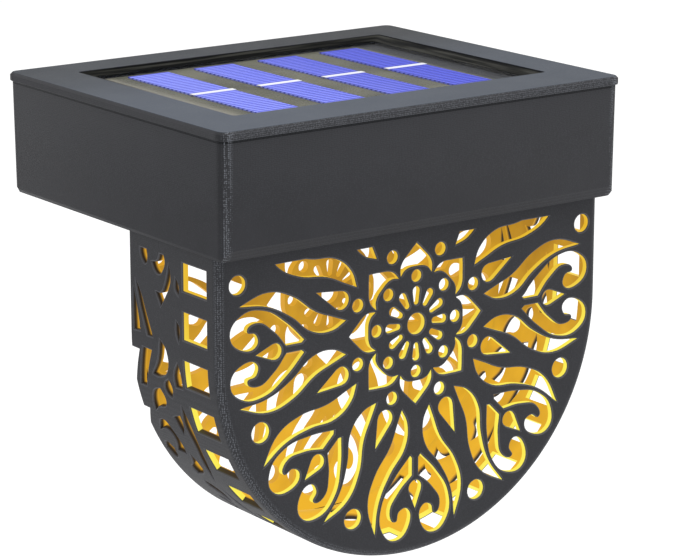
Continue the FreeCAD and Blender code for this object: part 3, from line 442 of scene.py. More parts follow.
def plastic(name, light, dark, roughness, scale=0.5):
    """Plain moulded plastic or rubber: a slow cloud of colour under a fine grain."""
    finish = Finish(name)
    spot, _ = finish.place()
    cloud = finish.noise(spot, scale)
    finish.set("Base Color", finish.blend(cloud, dark, light))
    finish.set("Roughness", cloud * 0.2 + (roughness - 0.1))
    finish.bump(finish.noise(spot, 3.0), 0.2, 0.00005)
    return finish


def plated(name, light, dark):
    """Plated metal with faint turning marks."""
    finish = Finish(name, Metallic=1.0)
    spot, _ = finish.place()
    cloud = finish.noise(spot, 0.8)
    marks = finish.noise(spot, 6.0, 1.0)
    finish.set("Base Color", finish.blend(cloud, dark, light))
    finish.set("Roughness", cloud * 0.2 + marks * 0.1 + 0.18)
    finish.bump(marks, 0.15, 0.00003)
    return finish


def solar_blue():
    """Blue cell under its cover: darker threads across the strip, and slightly uneven crystals;
    painted shade makes it darker and deeper blue towards the right.
    """
    finish = Finish("solar_blue", Roughness=0.3)
    spot, (x, y, _) = finish.place()
    crystal = finish.noise(spot, 0.35, 2.0)
    # painted shade: the cells are darker and deeper blue towards the right
    side = x.ramp(-30.0, 34.0)
    ground = finish.blend(crystal, (140, 152, 255), (160, 168, 255))
    ground = finish.blend(side, ground, (94, 104, 232))
    thread = finish.blend(side, (80, 88, 208), (48, 54, 172))
    pitch, half_width = 1.5, 0.32
    line = (y.wrapped(pitch) - pitch / 2).absolute().below(half_width)
    finish.set("Base Color", finish.blend(line, ground, thread))
    finish.set("Specular IOR Level", 0.0)
    finish.bump(line, 0.2, 0.00002)
    return finish


def backing():
    """Olive backing laminate: soft broad streaks and a faint weave, with a painted highlight that
    makes its left margin paler and painted shade that makes its right one dark."""
    finish = Finish("olive_backing", Roughness=0.45)
    spot, (x, y, _) = finish.place()
    broad = finish.noise(spot, 0.09, 3.0)
    pitch = 0.8
    weave = (x.wrapped(pitch) - pitch / 2).absolute() * (y.wrapped(pitch) - pitch / 2).absolute()
    ground = finish.blend(finish.spread(broad, 0.3, 0.7), (76, 76, 64), (104, 103, 87))
    # painted highlight at the left margin, painted shade at the right one
    left, right = x.ramp(-30.5, -35.4), x.ramp(31.6, 32.8)
    ground = finish.blend(left, ground, (152, 148, 136))
    finish.set("Base Color", finish.blend(right, ground, (36, 38, 42)))
    finish.set("Specular IOR Level", 0.02)
    finish.bump(weave, 0.3, 0.00003)
    return finish


def ribbon_tin():
    finish = Finish("tinned_ribbon", Roughness=0.35)
    spot, _ = finish.place()
    ripple = finish.noise(spot, 0.9, 2.0)
    finish.set("Base Color", finish.blend(ripple, (236, 238, 242), (255, 255, 255)))
    finish.bump(ripple, 0.3, 0.00003)
    return finish


def black_bead():
    """The glossy dark bead that seals the cover: ripples of its pouring, paler streaks along it that
    are a painted reflection, and a painted highlight on the slope on the left and the front left."""
    finish = Finish("black_bead", Coat_Roughness=0.12)
    spot, (x, y, _) = finish.place()
    ripple = finish.noise(spot, 0.22, 2.0)
    along = finish.noise(finish.stretched(spot, (0.05, 0.05, 3.0)), 1.0, 2.0)
    # painted highlight on the slope at the left and the front left
    lit_slope = x.ramp(-35.0, -36.5) * y.ramp(-12.0, -46.0)
    # painted reflection: paler streaks along the bead
    dark = finish.blend(finish.spread(along, 0.45, 0.62), (9, 10, 10), (44, 44, 40))
    finish.set("Base Color", finish.blend(lit_slope, dark, (128, 124, 112)))
    finish.set("Coat Weight", finish.spread(along, 0.54, 0.62) * 0.08)
    finish.set("Roughness", ripple * 0.2 + 0.3)
    finish.set("Specular IOR Level", 0.01)
    finish.bump(ripple, 0.35, 0.0003)
    return finish


def clear_cover():
    finish = Finish("clear_cover", Roughness=0.08, IOR=1.45)
    spot, _ = finish.place()
    smear = finish.noise(spot, 0.05, 2.0)
    finish.set("Base Color", finish.blend(smear, (60, 64, 72), (90, 94, 102)))
    finish.set("Alpha", smear * 0.06 + 0.03)
    return finish


def frosted_lens():
    """The milky light window over the lamps, brightest along its middle."""
    finish = Finish("frosted_lens", Roughness=0.5)
    spot, (x, y, _) = finish.place()
    frost = finish.noise(spot, 2.0, 2.0)
    middle_y = -60.6
    away = (y - middle_y).absolute() * 0.1 + x.absolute() * 0.02
    colour = finish.blend(away + frost * 0.1, (255, 240, 190), (250, 190, 70))
    finish.set("Base Color", colour)
    finish.set("Emission Color", colour)
    finish.set("Emission Strength", 0.9)
    finish.bump(frost, 0.3, 0.00005)
    return finish


def amber_lamp():
    finish = Finish("amber_lamp", Roughness=0.2)
    _, (_, _, z) = finish.place()
    tip, foot = -11.1, -9.6
    dome = z.ramp(tip, foot)
    colour = finish.blend(dome, (255, 236, 170), (250, 170, 40))
    finish.set("Base Color", colour)
    finish.set("Emission Color", colour)
    finish.set("Emission Strength", 1.0)
    return finish


def circuit():
    """Green solder mask with copper tracks just under it."""
    finish = Finish("circuit_green", Coat_Weight=0.4, Coat_Roughness=0.15)
    spot, (x, y, _) = finish.place()
    half_width = 0.28
    across = (x.wrapped(2.6) - 1.3).absolute().below(half_width)
    along = (y.wrapped(3.4) - 1.7).absolute().below(half_width)
    area = finish.noise(spot, 0.16, 1.0).above(0.5)
    track = across * area + along * (1.0 - area)
    finish.set("Base Color", finish.blend(track, (12, 74, 38), (38, 118, 62)))
    finish.set("Roughness", track * 0.1 + 0.32)
    finish.bump(track, 0.4, 0.00004)
    return finish


def cell_sleeve():
    """The battery: a green shrink sleeve with a pale band, bare metal at both ends."""
    finish = Finish("cell_sleeve", Roughness=0.3)
    spot, (x, _, _) = finish.place()
    shrink = finish.noise(spot, 0.7, 2.0)
    sleeve = finish.blend(shrink, (22, 104, 60), (40, 132, 78))
    band_x, band_half, middle_x, sleeve_half = 28.0, 4.0, 16.35, 23.6
    band = (x - band_x).absolute().below(band_half)
    coloured = finish.blend(band, sleeve, (224, 226, 216))
    ends = (x - middle_x).absolute().above(sleeve_half)
    finish.set("Base Color", finish.blend(ends, coloured, (200, 200, 196)))
    finish.set("Metallic", ends)
    finish.bump(shrink, 0.2, 0.0001)
    return finish


# ---- flat outlines ----
def disc(u, v, radius):
    """A circle as eight smooth points."""
    turns = [k * math.pi / 4 for k in range(8)]
    return [(u + radius * math.sin(a), v + radius * math.cos(a)) for a in turns]


def tapered_slot(v0, r0, v1, r1):
    """Two round ends joined by straight sides; an end of radius 0 is a point."""
    lean = math.asin((r0 - r1) / (v1 - v0))
    low = [(r0 * math.sin(a), v0 - r0 * math.cos(a), k in (-3, 3))
           for k, a in ((k, k * (math.pi / 2 + lean) / 3) for k in range(-3, 4))]
    if r1 == 0:
        return low + [(0.0, v1, True)]
    high = [(r1 * math.sin(a), v1 + r1 * math.cos(a), k in (-3, 3))
            for k, a in ((k, k * (math.pi / 2 - lean) / 3) for k in range(3, -4, -1))]
    return low + high


def turned(outline, degrees):
    a = math.radians(degrees)
    return [(u * math.cos(a) + v * math.sin(a), v * math.cos(a) - u * math.sin(a), *corner)
            for u, v, *corner in outline]


def mirrored(outline):
    return [(-u, v, *corner) for u, v, *corner in reversed(outline)]


def as_mesh(curve):
    """The mesh that Blender makes of a curve; the curve itself is removed."""
    thing = bpy.data.objects.new("outline", curve)
    mesh = bpy.data.meshes.new_from_object(thing)
    bpy.data.objects.remove(thing)
    bpy.data.curves.remove(curve)
    return mesh


def sampled(outline, steps=6):
    """The points of an outline with its smooth stretches rounded, by Blender's own spline."""
    curve = bpy.data.curves.new("outline", "CURVE")
    curve.resolution_u = steps
    spline = curve.splines.new("BEZIER")
    spline.use_cyclic_u = True
    spline.bezier_points.add(len(outline) - 1)
    for point, (u, v, *corner) in zip(spline.bezier_points, outline):
        point.co = (u, v, 0)
        point.handle_left_type = point.handle_right_type = "VECTOR" if any(corner) else "AUTO"
    mesh = as_mesh(curve)
    points = [(vertex.co.x, vertex.co.y) for vertex in mesh.vertices]
    bpy.data.meshes.remove(mesh)
    return points


def flat_sheet(border, openings):
    """A flat bmesh in the XY plane: the border filled, with its openings left out."""
    curve = bpy.data.curves.new("sheet", "CURVE")
    curve.dimensions = "2D"
    curve.fill_mode = "FRONT"
    for loop in [border] + openings:
        spline = curve.splines.new("POLY")
        spline.use_cyclic_u = True
        spline.points.add(len(loop) - 1)
        for point, (u, v) in zip(spline.points, loop):
            point.co = (u, v, 0, 1)
    mesh = as_mesh(curve)
    bm = bmesh.new()
    bm.from_mesh(mesh)
    bmesh.ops.remove_doubles(bm, verts=bm.verts, dist=1e-5)
    bpy.data.meshes.remove(mesh)
    return bm


def pushed(loop, within, walled):
    """How far each corner of a loop moves into the material where the edge is rounded. The material
    lies within a border and round an opening."""
    following = loop[1:] + loop[:1]
    turn = sum(a[0] * b[1] - b[0] * a[1] for a, b in zip(loop, following))
    sign = 1 if (turn > 0) == within else -1
    sides = []
    for a, b in zip(loop, following):
        along = Vector((b[0] - a[0], b[1] - a[1])).normalized()
        sides.append(Vector((-along.y, along.x)) * sign if walled(a, b) else None)
    pushes = []
    for pair in zip([sides[-1]] + sides[:-1], sides):
        near = [side for side in pair if side]
        mean = sum(near, Vector((0, 0))) / max(len(near), 1)
        size = max(mean.length, 0.05)
        pushes.append(mean / size * min(MITRE_LIMIT, 1 / size) * ROUND)
    return pushes


def within_room(loops, pushes):
    """The pushes, shortened so that neighbouring loops stay apart."""
    tree = KDTree(sum(len(loop) for loop in loops))
    for number, loop in enumerate(loops):
        for u, v in loop:
            tree.insert((u, v, 0), number)
    tree.balance()
    result = []
    for number, (loop, moves) in enumerate(zip(loops, pushes)):
        kept = []
        reach = 4 * ROUND
        for (u, v), push in zip(loop, moves):
            found = tree.find_range((u, v, 0), reach)
            near = [gap for _, other, gap in found if other != number]
            limit = ROOM_SHARE * min(near, default=reach)
            kept.append(push * min(1.0, limit / push.length) if push.length else push)
        result.append(kept)
    return result


def only(kind, made):
    """The corners, edges or faces among what an operation made."""
    return [thing for thing in made["geom"] if isinstance(thing, kind)]


def pierced(border, openings, walled):
    """A flat skin with its wall along +Z: outer face, openings with a rounded outer edge and cut
    walls, and inner face. Only the sides of the border that walled accepts get a wall. Its
    materials are 0 outside, 1 inside, 2 on the cut walls and 3 on the rounded edges."""
    loops = [border] + openings
    pushes = [pushed(border, True, walled)]
    pushes += [pushed(loop, False, lambda a, b: True) for loop in openings]
    pushes = within_room(loops, pushes)
    wide = [[(u + push.x, v + push.y) for (u, v), push in zip(loop, moves)]
            for loop, moves in zip(loops, pushes)]
    bm = flat_sheet(wide[0], wide[1:])
    inner = flat_sheet(border, openings)
    bmesh.ops.translate(inner, vec=(0, 0, SHADE_WALL), verts=inner.verts)
    for face in inner.faces:
        face.material_index = 1
    walls = bmesh.new()
    home = walls.verts.layers.float_vector.new("home")
    away = walls.verts.layers.float_vector.new("away")
    for loop, moves in zip(loops, pushes):
        corners = []
        for (u, v), push in zip(loop, moves):
            corners.append(walls.verts.new((u + push.x, v + push.y, 0)))
            corners[-1][home] = (u, v, 0)
            corners[-1][away] = (push.x, push.y, 0)
        for k, corner in enumerate(corners):
            if loop is not border or walled(loop[k - 1], loop[k]):
                walls.edges.new((corners[k - 1], corner))
    lone = [vertex for vertex in walls.verts if not vertex.link_edges]
    bmesh.ops.delete(walls, geom=lone, context="VERTS")
    line = walls.edges[:]
    steps = ((HALFWAY, HALFWAY * ROUND, 3), (0.0, ROUND, 3), (0.0, SHADE_WALL, 2))
    for out, deep, material in steps:
        made = bmesh.ops.extrude_edge_only(walls, edges=line)
        fresh = set(only(BMVert, made))
        for vertex in fresh:
            vertex.co = vertex[home] + vertex[away] * out + Vector((0, 0, deep))
        for face in only(BMFace, made):
            face.material_index = material
        line = [edge for edge in only(BMEdge, made) if fresh.issuperset(edge.verts)]
    for name in ("home", "away"):
        walls.verts.layers.float_vector.remove(walls.verts.layers.float_vector[name])
    added(bm, inner)
    added(bm, walls)
    bmesh.ops.remove_doubles(bm, verts=bm.verts, dist=WELD)
    return bm


# ---- pieces ----
def added(bm, other):
    """Adds another bmesh's faces to bm."""
    spare = bpy.data.meshes.new("spare")
    other.to_mesh(spare)
    other.free()
    bm.from_mesh(spare)
    bpy.data.meshes.remove(spare)


def placed(name, data):
    """A new object with this data, in the scene."""
    thing = bpy.data.objects.new(name, data)
    bpy.context.scene.collection.objects.link(thing)
    return thing


def put_down(name, bm, finishes):
    """Makes bm a mesh object with these finishes, in the scene."""
    mesh = bpy.data.meshes.new(name)
    bm.to_mesh(mesh)
    bm.free()
    for finish in finishes:
        mesh.materials.append(finish.data)
    return placed(name, mesh)


def worked(bm, modifiers):
    """The bmesh that modifiers make of bm; its lengths stay in millimetres."""
    mesh = bpy.data.meshes.new("worked")
    bm.to_mesh(mesh)
    thing = placed("worked", mesh)
    for _ in range(3):  # a slot for each of the piece's materials
        mesh.materials.append(None)
    for kind, settings in modifiers:
        modifier = thing.modifiers.new(kind.title(), kind)
        for key, value in settings.items():
            setattr(modifier, key, value)
    graph = bpy.context.evaluated_depsgraph_get()
    result = bpy.data.meshes.new_from_object(thing.evaluated_get(graph))
    bm.clear()
    bm.from_mesh(result)
    bpy.data.objects.remove(thing)
    bpy.data.meshes.remove(mesh)
    bpy.data.meshes.remove(result)
    return bm


def squared(face):
    """Whether a face looks straight along an axis. Its corners alone say so, since a sliver's
    normal is rough."""
    spreads = zip(*(vertex.co for vertex in face.verts))
    return any(max(spread) - min(spread) < 2e-4 for spread in spreads)


def finished(bm, name, finishes, nodes, body="light_body", crease=34):
    """Makes bm, in millimetres, a piece in metres that stands for its nodes, with every edge
    sharper than crease degrees marked."""
    for face in bm.faces:
        face.smooth = not squared(face)
    for edge in bm.edges:
        edge.smooth = edge.is_manifold and edge.calc_face_angle() < math.radians(crease)
    bmesh.ops.scale(bm, vec=(MM, MM, MM), verts=bm.verts)
    piece = put_down(name, bm, finishes)
    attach(piece, body)
    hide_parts(*nodes)
    return piece


def rim_point(s, inset):
    """The point of the D outline at s along it from the box's left, moved inwards by inset."""
    r = SHADE_R - inset
    arc_length = math.pi * SHADE_R
    if s <= STRAIGHT:
        return -r, BOX_BOTTOM - s
    if s >= STRAIGHT + arc_length:
        return r, ARC_CENTRE_Z + s - STRAIGHT - arc_length
    a = (s - STRAIGHT) / SHADE_R
    return -r * math.cos(a), ARC_CENTRE_Z - r * math.sin(a)


def rim_stations():
    step = math.pi * SHADE_R / ARC_STEPS
    return [0.0] + [STRAIGHT + k * step for k in range(ARC_STEPS + 1)] + [RIM_LENGTH]


def below_ceiling(outlines, ceiling):
    """Outlines that stay below the ceiling; those that cross it are cut off level with it."""
    kept = []
    for outline in outlines:
        points = sampled(outline)
        if min(v for _, v in points) >= ceiling:
            continue
        if max(v for _, v in points) > ceiling:
            points = clipped(points, ceiling)
            following = points[1:] + points[:1]
            area = abs(sum(a[0] * b[1] - b[0] * a[1] for a, b in zip(points, following))) / 2
            if area < LEAST_CUT_AREA:
                continue
        kept.append(points)
    return kept


def clipped(points, ceiling):
    """A closed outline cut off at the ceiling."""
    result = []
    for (u0, v0), (u1, v1) in zip(points, points[1:] + points[:1]):
        if v0 <= ceiling:
            result.append((u0, v0))
        if (v0 <= ceiling) != (v1 <= ceiling):
            t = (ceiling - v0) / (v1 - v0)
            result.append((u0 + t * (u1 - u0), ceiling))
    return result


def mandala(ceiling):
    """The front pattern as loops round the middle of the flower, cut off level at the ceiling."""
    step = 360 / SPRAYS
    outlines = [disc(0, 0, EYE_R)]
    outlines += [turned(tapered_slot(*PETAL), k * 360 / PETALS) for k in range(PETALS)]
    for k in range(SPRAYS):
        outlines += [turned(shape, k * step) for shape in (disc(*BUD), LOTUS)]
        between = [disc(*PEARL), tapered_slot(*DROP)]
        if k in RIM_PEARL_PLACES:
            between.append(disc(*RIM_PEARL))
        outlines += [turned(shape, (k + 0.5) * step) for shape in between]
        spray = [LEAF, mirrored(LEAF), SCROLL, mirrored(SCROLL), tapered_slot(*KNOT)]
        outlines += [turned(shape, k * step) for shape in spray]
    u, v, r = CORNER_PEARL
    outlines += [disc(u, v, r), disc(-u, v, r)]
    return below_ceiling(outlines, ceiling)


def inset(x, z):
    """How far inside the D outline a point is."""
    return SHADE_R - math.hypot(x, min(z - ARC_CENTRE_Z, 0.0))


def front_plate():
    """The flat part of the front, out to where the rounded edge starts."""
    border = [rim_point(s, EDGE_R) for s in rim_stations()]
    openings = [[(u, v + FLOWER_Z) for u, v in loop] for loop in mandala(FLOWER_TOP)]

    def walled(a, b):  # the straight top, not the sides, where the rounded edge goes on
        return inset((a[0] + b[0]) / 2, (a[1] + b[1]) / 2) > EDGE_R + 0.1

    bm = pierced(border, openings, walled)
    for vertex in bm.verts:
        u, v, deep = vertex.co
        vertex.co = (u, SHADE_FRONT + deep, v)
    return bm


def window_outlines():
    """The row of windows down one side of the rim, and the last, centred on the lowest line."""
    middles = [WINDOW_FIRST]
    while middles[-1] + 1.5 * WINDOW_PITCH < RIM_LENGTH / 2:
        middles.append(middles[-1] + WINDOW_PITCH)
    low, high, half = WINDOW_FRONT, WINDOW_FRONT + WINDOW_DEPTH, WINDOW_LENGTH / 2
    boxes = [[(low, s - half), (high, s - half), (high, s + half), (low, s + half)]
             for s in middles + [RIM_LENGTH / 2]]
    return boxes[:-1], boxes[-1]


def rim_openings():
    """All openings of the flat rim as (along the rim, back from the front) loops."""
    lower = [[(y, BAND_MIRROR - s, *corner) for y, s, *corner in shape] for shape in BAND_TWICE]
    windows, last = window_outlines()
    leaves = [sampled(shape, RIM_CHORDS) for shape in BAND_ONCE + BAND_TWICE + lower]
    one_side = windows + leaves
    middle = RIM_LENGTH / 2
    dots = [[(y + v, middle + u) for u, v in sampled(disc(0, 0, r), RIM_CHORDS)]
            for y, r in BAND_MIDDLE]
    left = [[(s, y) for y, s in loop] for loop in one_side + dots + [last]]
    right = [[(RIM_LENGTH - s, y) for y, s in loop] for loop in one_side]
    return left + right


def rear_edge(back, shift):
    """The rear edge of the flat rim from right to left, with its slanted bites."""
    left, right = [], []
    for deep, first, last in reversed(BAND_NOTCHES):
        left += [(last, back), (first, deep + shift), (first, back)]
    for deep, first, last in BAND_NOTCHES:
        start, end = RIM_LENGTH - first, RIM_LENGTH - last
        right += [(start, back), (start, deep + shift), (end, back)]
    return [(RIM_LENGTH, back)] + right + left + [(0, back)]


def rim_sheet():
    """The rounded edge and the rim as one flat sheet, scored at each station, then bent round
    the D."""
    shift = FILLET_LENGTH - EDGE_R
    back = SHADE_DEPTH + shift
    border = [(0, 0), (RIM_LENGTH, 0)] + rear_edge(back, shift)
    openings = [[(s, y + shift) for s, y in loop] for loop in rim_openings()]
    bm = pierced(border, openings, lambda a, b: max(a[1], b[1]) > 0.001)
    cuts = [((s, 0, 0), (1, 0, 0)) for s in rim_stations()[1:-1]]
    rows = [FILLET_LENGTH * k / FILLET_STEPS for k in range(1, FILLET_STEPS + 1)]
    cuts += [((0, row, 0), (0, 1, 0)) for row in rows]
    for place, normal in cuts:
        everything = bm.verts[:] + bm.edges[:] + bm.faces[:]
        bmesh.ops.bisect_plane(bm, geom=everything, dist=1e-4, plane_co=place, plane_no=normal)
    for vertex in bm.verts:
        s, t, deep = vertex.co
        if t < FILLET_LENGTH:
            a = t / EDGE_R
            r = EDGE_R - deep
            inwards, y = EDGE_R - r * math.sin(a), EDGE_R - r * math.cos(a)
        else:
            inwards, y = deep, t - shift
        x, z = rim_point(s, inwards)
        vertex.co = (x, SHADE_FRONT + y, z)
    return bm


def tab_plate(width, depth, thickness, hole, middle, top, material):
    """A level plate with a screw hole, its top face at the given height."""
    w, d = width / 2, depth / 2
    border = [(-w, -d), (w, -d), (w, d), (-w, d)]
    hx, hy = hole[0] - middle[0], hole[1] - middle[1]
    ring = [(hx + u, hy + v) for u, v in sampled(disc(0, 0, HOLE_R), HOLE_CHORDS)]
    bm = flat_sheet(border, [ring])
    under = only(BMVert, bmesh.ops.extrude_face_region(bm, geom=bm.faces[:]))
    bmesh.ops.translate(bm, vec=(0, 0, -thickness), verts=under)
    bmesh.ops.translate(bm, vec=(middle[0], middle[1], top), verts=bm.verts)
    bmesh.ops.recalc_face_normals(bm, faces=bm.faces)
    for face in bm.faces:
        face.material_index = material
    return bm


def lampshade(finishes):
    """One shell, front plate and rim; four ears inside."""
    bm = front_plate()
    added(bm, rim_sheet())
    bmesh.ops.remove_doubles(bm, verts=bm.verts, dist=SEAM)
    bmesh.ops.dissolve_degenerate(bm, dist=SEAM, edges=bm.edges)
    bmesh.ops.recalc_face_normals(bm, faces=bm.faces)
    length, width, thickness = EAR
    for x, y in EAR_HOLES:
        for side in (-1, 1):
            middle = (side * (SHADE_R - SHADE_WALL - length / 2 + EAR_BITE), y)
            hole = (side * x, y)
            added(bm, tab_plate(length, width, thickness, hole, middle, BOX_BOTTOM, 1))
    return finished(bm, "lampshade_shell", finishes, ["lampshade"], crease=20)


def rear_pattern():
    """The front pattern again, a little smaller, up to the tabs."""
    scale = REAR_R / SHADE_R
    loops = mandala((REAR_LIMIT - FLOWER_Z) / scale)
    return [[(u * scale, v * scale + FLOWER_Z) for u, v in loop] for loop in loops]


def rear_panel(finishes):
    """The pierced plate at the back of the shade, glowing with painted lamplight on its lamp side and
    charcoal behind and round its border, with two screw tabs."""
    shrink = SHADE_R - REAR_R
    border = [rim_point(s, shrink) for s in rim_stations()]
    bm = flat_sheet(border, rear_pattern())
    for vertex in bm.verts:
        u, v, _ = vertex.co
        vertex.co = (u, REAR_FRONT, v)
    bmesh.ops.recalc_face_normals(bm, faces=bm.faces)
    if bm.faces[:][0].normal.y > 0:
        bmesh.ops.reverse_faces(bm, faces=bm.faces)
    wall = ("SOLIDIFY", {
        "thickness": REAR_THICKNESS, "offset": -1.0, "material_offset": 1, "material_offset_rim": 2,
    })
    edge_break = ("BEVEL", {
        "width": REAR_EDGE, "segments": 1, "limit_method": "ANGLE", "angle_limit": math.radians(60),
        "material": -1,
    })
    worked(bm, [wall, edge_break])
    for face in bm.faces:
        middle = face.calc_center_median()
        margin = 0.2  # takes in the border's wall and its broken edge
        if inset(middle.x, middle.z) < shrink + margin or middle.z > BOX_BOTTOM - margin:
            face.material_index = 1
    width, depth, thickness = TAB
    for x, y in TAB_HOLES:
        middle = (x, REAR_FRONT - depth / 2 + TAB_BITE)
        added(bm, tab_plate(width, depth, thickness, (x, y), middle, BOX_BOTTOM, 0))
    return finished(bm, "rear_panel_plate", finishes, ["rear_panel"],
                    crease=28)


def screw(length, sides=24):
    """A pan-head screw: its head's underside at height 0, cross recess on top, shank downwards."""
    head_r, head_height, shank_r = SCREW_HEAD_R, SCREW_HEAD_HEIGHT, SCREW_SHANK_R
    flat_r = head_r * 0.62
    arm, arm_width = head_r * 0.52, head_r * 0.13
    cross = []
    for k in range(4):
        a = math.pi / 2 * k
        for u, v in ((arm, -arm_width), (arm, arm_width), (arm_width, arm_width)):
            cross.append((u * math.cos(a) - v * math.sin(a), u * math.sin(a) + v * math.cos(a)))
    turns = [2 * math.pi * k / sides for k in range(sides)]
    bm = flat_sheet([(flat_r * math.cos(a), flat_r * math.sin(a)) for a in turns], [cross])
    pit = [edge for edge in bm.edges
           if edge.is_boundary and max(v.co.length for v in edge.verts) < head_r * 0.56]
    made = bmesh.ops.extrude_edge_only(bm, edges=pit)
    low = only(BMVert, made)
    bmesh.ops.scale(bm, vec=(0.72, 0.72, 1.0), verts=low)
    bmesh.ops.translate(bm, vec=(0, 0, -0.6 * head_height), verts=low)
    bmesh.ops.holes_fill(bm, edges=only(BMEdge, made), sides=0)
    bmesh.ops.translate(bm, vec=(0, 0, head_height), verts=bm.verts)
    steps = [
        (flat_r, head_height), (head_r * 0.84, head_height * 0.86),
        (head_r * 0.96, head_height * 0.6), (head_r, head_height * 0.3), (head_r, 0),
        (shank_r, 0), (shank_r, -length + shank_r), (shank_r * 0.35, -length),
    ]
    side = bmesh.new()
    points = [side.verts.new((r, 0, z)) for r, z in steps]
    lines = [side.edges.new(pair) for pair in zip(points, points[1:])]
    bmesh.ops.spin(side, geom=points + lines, cent=(0, 0, 0), axis=(0, 0, 1), angle=math.tau,
                   steps=sides, use_merge=True)
    tip = [e for e in side.edges if e.is_boundary and e.verts[0].co.z < -length + 0.01]
    bmesh.ops.holes_fill(side, edges=tip, sides=0)
    added(bm, side)
    bmesh.ops.remove_doubles(bm, verts=bm.verts, dist=SEAM)
    bmesh.ops.recalc_face_normals(bm, faces=bm.faces)
    return bm


def screws(node, finish, places, seat, length, hanging):
    """A set of screws as one piece; hanging ones have their heads below the seat."""
    whole = bmesh.new()
    for k, (x, y) in enumerate(places):
        one = screw(length)
        driven = Matrix.Rotation(0.5 + 0.7 * k, 3, "Z")
        bmesh.ops.rotate(one, cent=(0, 0, 0), matrix=driven, verts=one.verts)
        if hanging:
            over = Matrix.Rotation(math.pi, 3, "X")
            bmesh.ops.rotate(one, cent=(0, 0, 0), matrix=over, verts=one.verts)
        bmesh.ops.translate(one, vec=(x, y, seat), verts=one.verts)
        added(whole, one)
    finished(whole, node + "_turned", [finish], [node])


def ease_sides(bm):
    """Makes the chamfer under the box smaller on its left and right than at the front and back."""
    for vertex in bm.verts:
        x, _, z = vertex.co
        past = abs(x) - CORNER_MIDDLE
        if past < 0:
            continue
        if abs(z - CHAMFER_TOP) < 0.01:
            share = SIDE_EASE * past / (CORNER_R + CHAMFER_WIDTH)
            vertex.co.z -= (CHAMFER_TOP - BOX_BOTTOM) * share
        elif abs(z - BOX_BOTTOM) < 0.01:
            vertex.co.x += math.copysign(CHAMFER_WIDTH * SIDE_EASE * past / CORNER_R, x)


def softened(node, finish, width, wanted, shaped=None):
    """A copy of a charcoal solid, merged, with the wanted edges broken by a small round."""
    bm = bmesh.new()
    bm.from_mesh(frame["nodes"][node].data)
    bmesh.ops.scale(bm, vec=(1 / MM, 1 / MM, 1 / MM), verts=bm.verts)
    bmesh.ops.remove_doubles(bm, verts=bm.verts, dist=0.001)
    bmesh.ops.dissolve_limit(bm, angle_limit=math.radians(1.0), verts=bm.verts, edges=bm.edges)
    if shaped:
        shaped(bm)
    turning = [e for e in bm.edges if e.is_manifold and e.calc_face_angle() > math.radians(20)]
    edges = [edge for edge in turning if wanted(edge)]
    bmesh.ops.bevel(bm, geom=edges, offset=width, segments=2, profile=0.5, affect="EDGES",
                    clamp_overlap=True, material=-1)
    for face in bm.faces:
        face.material_index = 0
    return finished(bm, node + "_moulded", [finish], [node])


def climb(edge):
    """How far an edge rises from end to end."""
    return abs(edge.verts[0].co.z - edge.verts[1].co.z)


def at_foot(edge):
    """The nearly level edges at the foot of the box, outside and in, but for those in the middle
    and the shortest."""
    x, _, z = edge.verts[0].co
    return climb(edge) < 0.75 and z < CHAMFER_TOP + 0.1 and abs(x) > 40 and edge.calc_length() > 0.5


def under_lip(edge):
    """The level edges on the underside of the lip."""
    return climb(edge) < 0.001 and abs(edge.verts[0].co.z - LIP_BOTTOM) < 0.01


# ---- stage ----
def stage():
    """A pale floor well below the light: white but for its soft shadow, and unseen from below."""
    bm = bmesh.new()
    bmesh.ops.create_circle(bm, cap_ends=True, segments=64, radius=FLOOR_R)
    bmesh.ops.translate(bm, vec=(0, 0, FLOOR_Z), verts=bm.verts)
    finish = Finish("pale_floor", Roughness=0.9)
    finish.set("Base Color", (FLOOR_GREY,) * 3 + (1.0,))
    finish.set("Specular IOR Level", 0.0)
    finish.set("Emission Color", WHITE)
    finish.set("Emission Strength", FLOOR_GLOW)
    see_through = finish.node("ShaderNodeBsdfTransparent")
    behind = finish.node("ShaderNodeNewGeometry", output="Backfacing")
    mix = finish.tree.nodes.new("ShaderNodeMixShader")
    finish.tree.links.new(behind.socket, mix.inputs[0])
    finish.tree.links.new(finish.shader.outputs[0], mix.inputs[1])
    finish.tree.links.new(see_through.socket, mix.inputs[2])
    surface = finish.tree.nodes["Material Output"].inputs["Surface"]
    finish.tree.links.new(mix.outputs[0], surface)
    floor = put_down("floor", bm, [finish])


def world():
    """Soft even light all round; the camera, glass and gloss see plain white."""
    studio = bpy.data.worlds.new("studio")
    studio.use_nodes = True
    bpy.context.scene.world = studio
    nodes, links = studio.node_tree.nodes, studio.node_tree.links
    background = nodes["Background"]
    background.inputs["Color"].default_value = WHITE
    background.inputs["Strength"].default_value = SKY_LEVEL
    white = nodes.new("ShaderNodeBackground")
    white.inputs["Color"].default_value = WHITE
    white.inputs["Strength"].default_value = 1.0
    path = nodes.new("ShaderNodeLightPath")
    seen = path.outputs["Is Camera Ray"]
    for other in ("Is Transmission Ray", "Is Glossy Ray"):
        either = nodes.new("ShaderNodeMath")
        either.operation = "MAXIMUM"
        links.new(seen, either.inputs[0])
        links.new(path.outputs[other], either.inputs[1])
        seen = either.outputs[0]
    mix = nodes.new("ShaderNodeMixShader")
    links.new(seen, mix.inputs[0])
    links.new(background.outputs[0], mix.inputs[1])
    links.new(white.outputs[0], mix.inputs[2])
    links.new(mix.outputs[0], nodes["World Output"].inputs["Surface"])


def lamp():
    """One broad lamp overhead."""
    data = bpy.data.lights.new("over", "AREA")
    data.shape = "DISK"
    data.size = LAMP_SIZE
    data.energy = LAMP_POWER
    thing = placed("over", data)
    thing.location = LAMP_PLACE
    aim = Vector(LAMP_AIM) - Vector(LAMP_PLACE)
    thing.rotation_euler = aim.to_track_quat("-Z", "Y").to_euler()


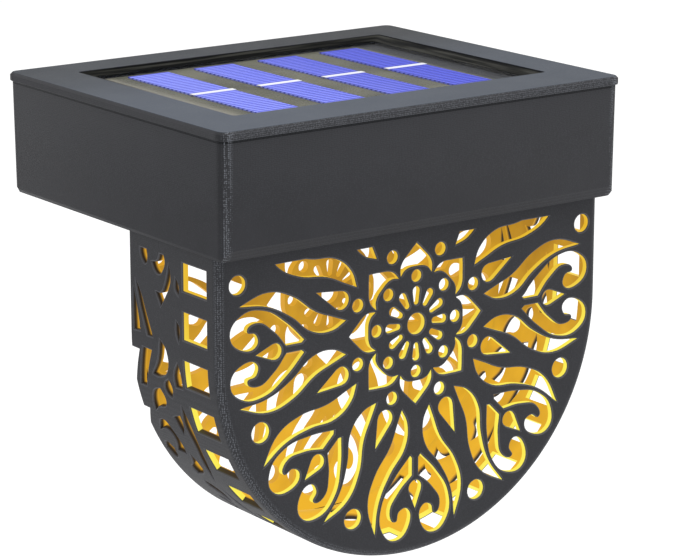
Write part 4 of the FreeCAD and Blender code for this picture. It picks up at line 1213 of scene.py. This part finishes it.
def camera():
    data = bpy.data.cameras.new("camera")
    data.lens = CAMERA_LENS
    data.sensor_width = SENSOR_WIDTH
    data.clip_start = 0.01
    thing = placed("camera", data)
    thing.location = CAMERA_PLACE
    thing.rotation_euler = Vector(CAMERA_AIM).to_track_quat("-Z", "Y").to_euler()
    bpy.context.scene.camera = thing


def dress(finish, *nodes):
    """Gives carried-over solids their finish."""
    for node in nodes:
        data = frame["nodes"][node].data
        data.materials.clear()
        data.materials.append(finish.data)


def main():
    shell = charcoal("charcoal_shell", *SHELL)
    inside, cut = lit_inside(), lit_cut()
    lampshade([shell, inside, cut, charcoal("charcoal_edge_highlight", *SHELL_EDGE_HIGHLIGHT)])
    rear_panel([inside, shell, cut])
    softened("housing", shell, BOX_ROUND, at_foot, shaped=ease_sides)
    softened("bezel", shell, LIP_ROUND, under_lip)
    steel = plated("zinc_steel", (196, 196, 192), (150, 150, 148))
    for node, places, seat, length, hanging in SCREWS:
        screws(node, steel, places, seat, length, hanging)

    dress(black_bead(), "panel_gasket")
    dress(clear_cover(), "panel_window")
    dress(backing(), "panel_board")
    dress(ribbon_tin(), "cell_ribbons")
    dress(solar_blue(), *(f"solar_cell_{number}" for number in range(1, 5)))
    dress(plastic("foam_tape", (70, 70, 72), (52, 52, 54), 0.9, 1.5), "panel_tape")
    dress(plastic("black_seal", (30, 30, 32), (20, 20, 22), 0.8, 1.0), "housing_seal")
    dress(frosted_lens(), "light_window")
    dress(amber_lamp(), "leds")
    dress(circuit(), "led_board", "control_board")
    dress(plastic("chip_black", (34, 34, 36), (22, 22, 24), 0.5, 1.2), "control_chips")
    black = plastic("switch_black", (44, 44, 47), (30, 30, 33), 0.5)
    dress(black, "switch_body", "switch_plunger", "battery_holder")
    dress(plastic("button_rubber", (66, 66, 70), (52, 52, 56), 0.7, 1.0), "button_cap")
    dress(cell_sleeve(), "battery")
    nickel = plated("nickel", (214, 208, 194), (176, 170, 156))
    dress(nickel, "battery_contact_plus", "battery_contact_minus")

    stage()
    world()
    lamp()
    camera()
    bpy.context.scene.view_settings.view_transform = "Standard"


main()
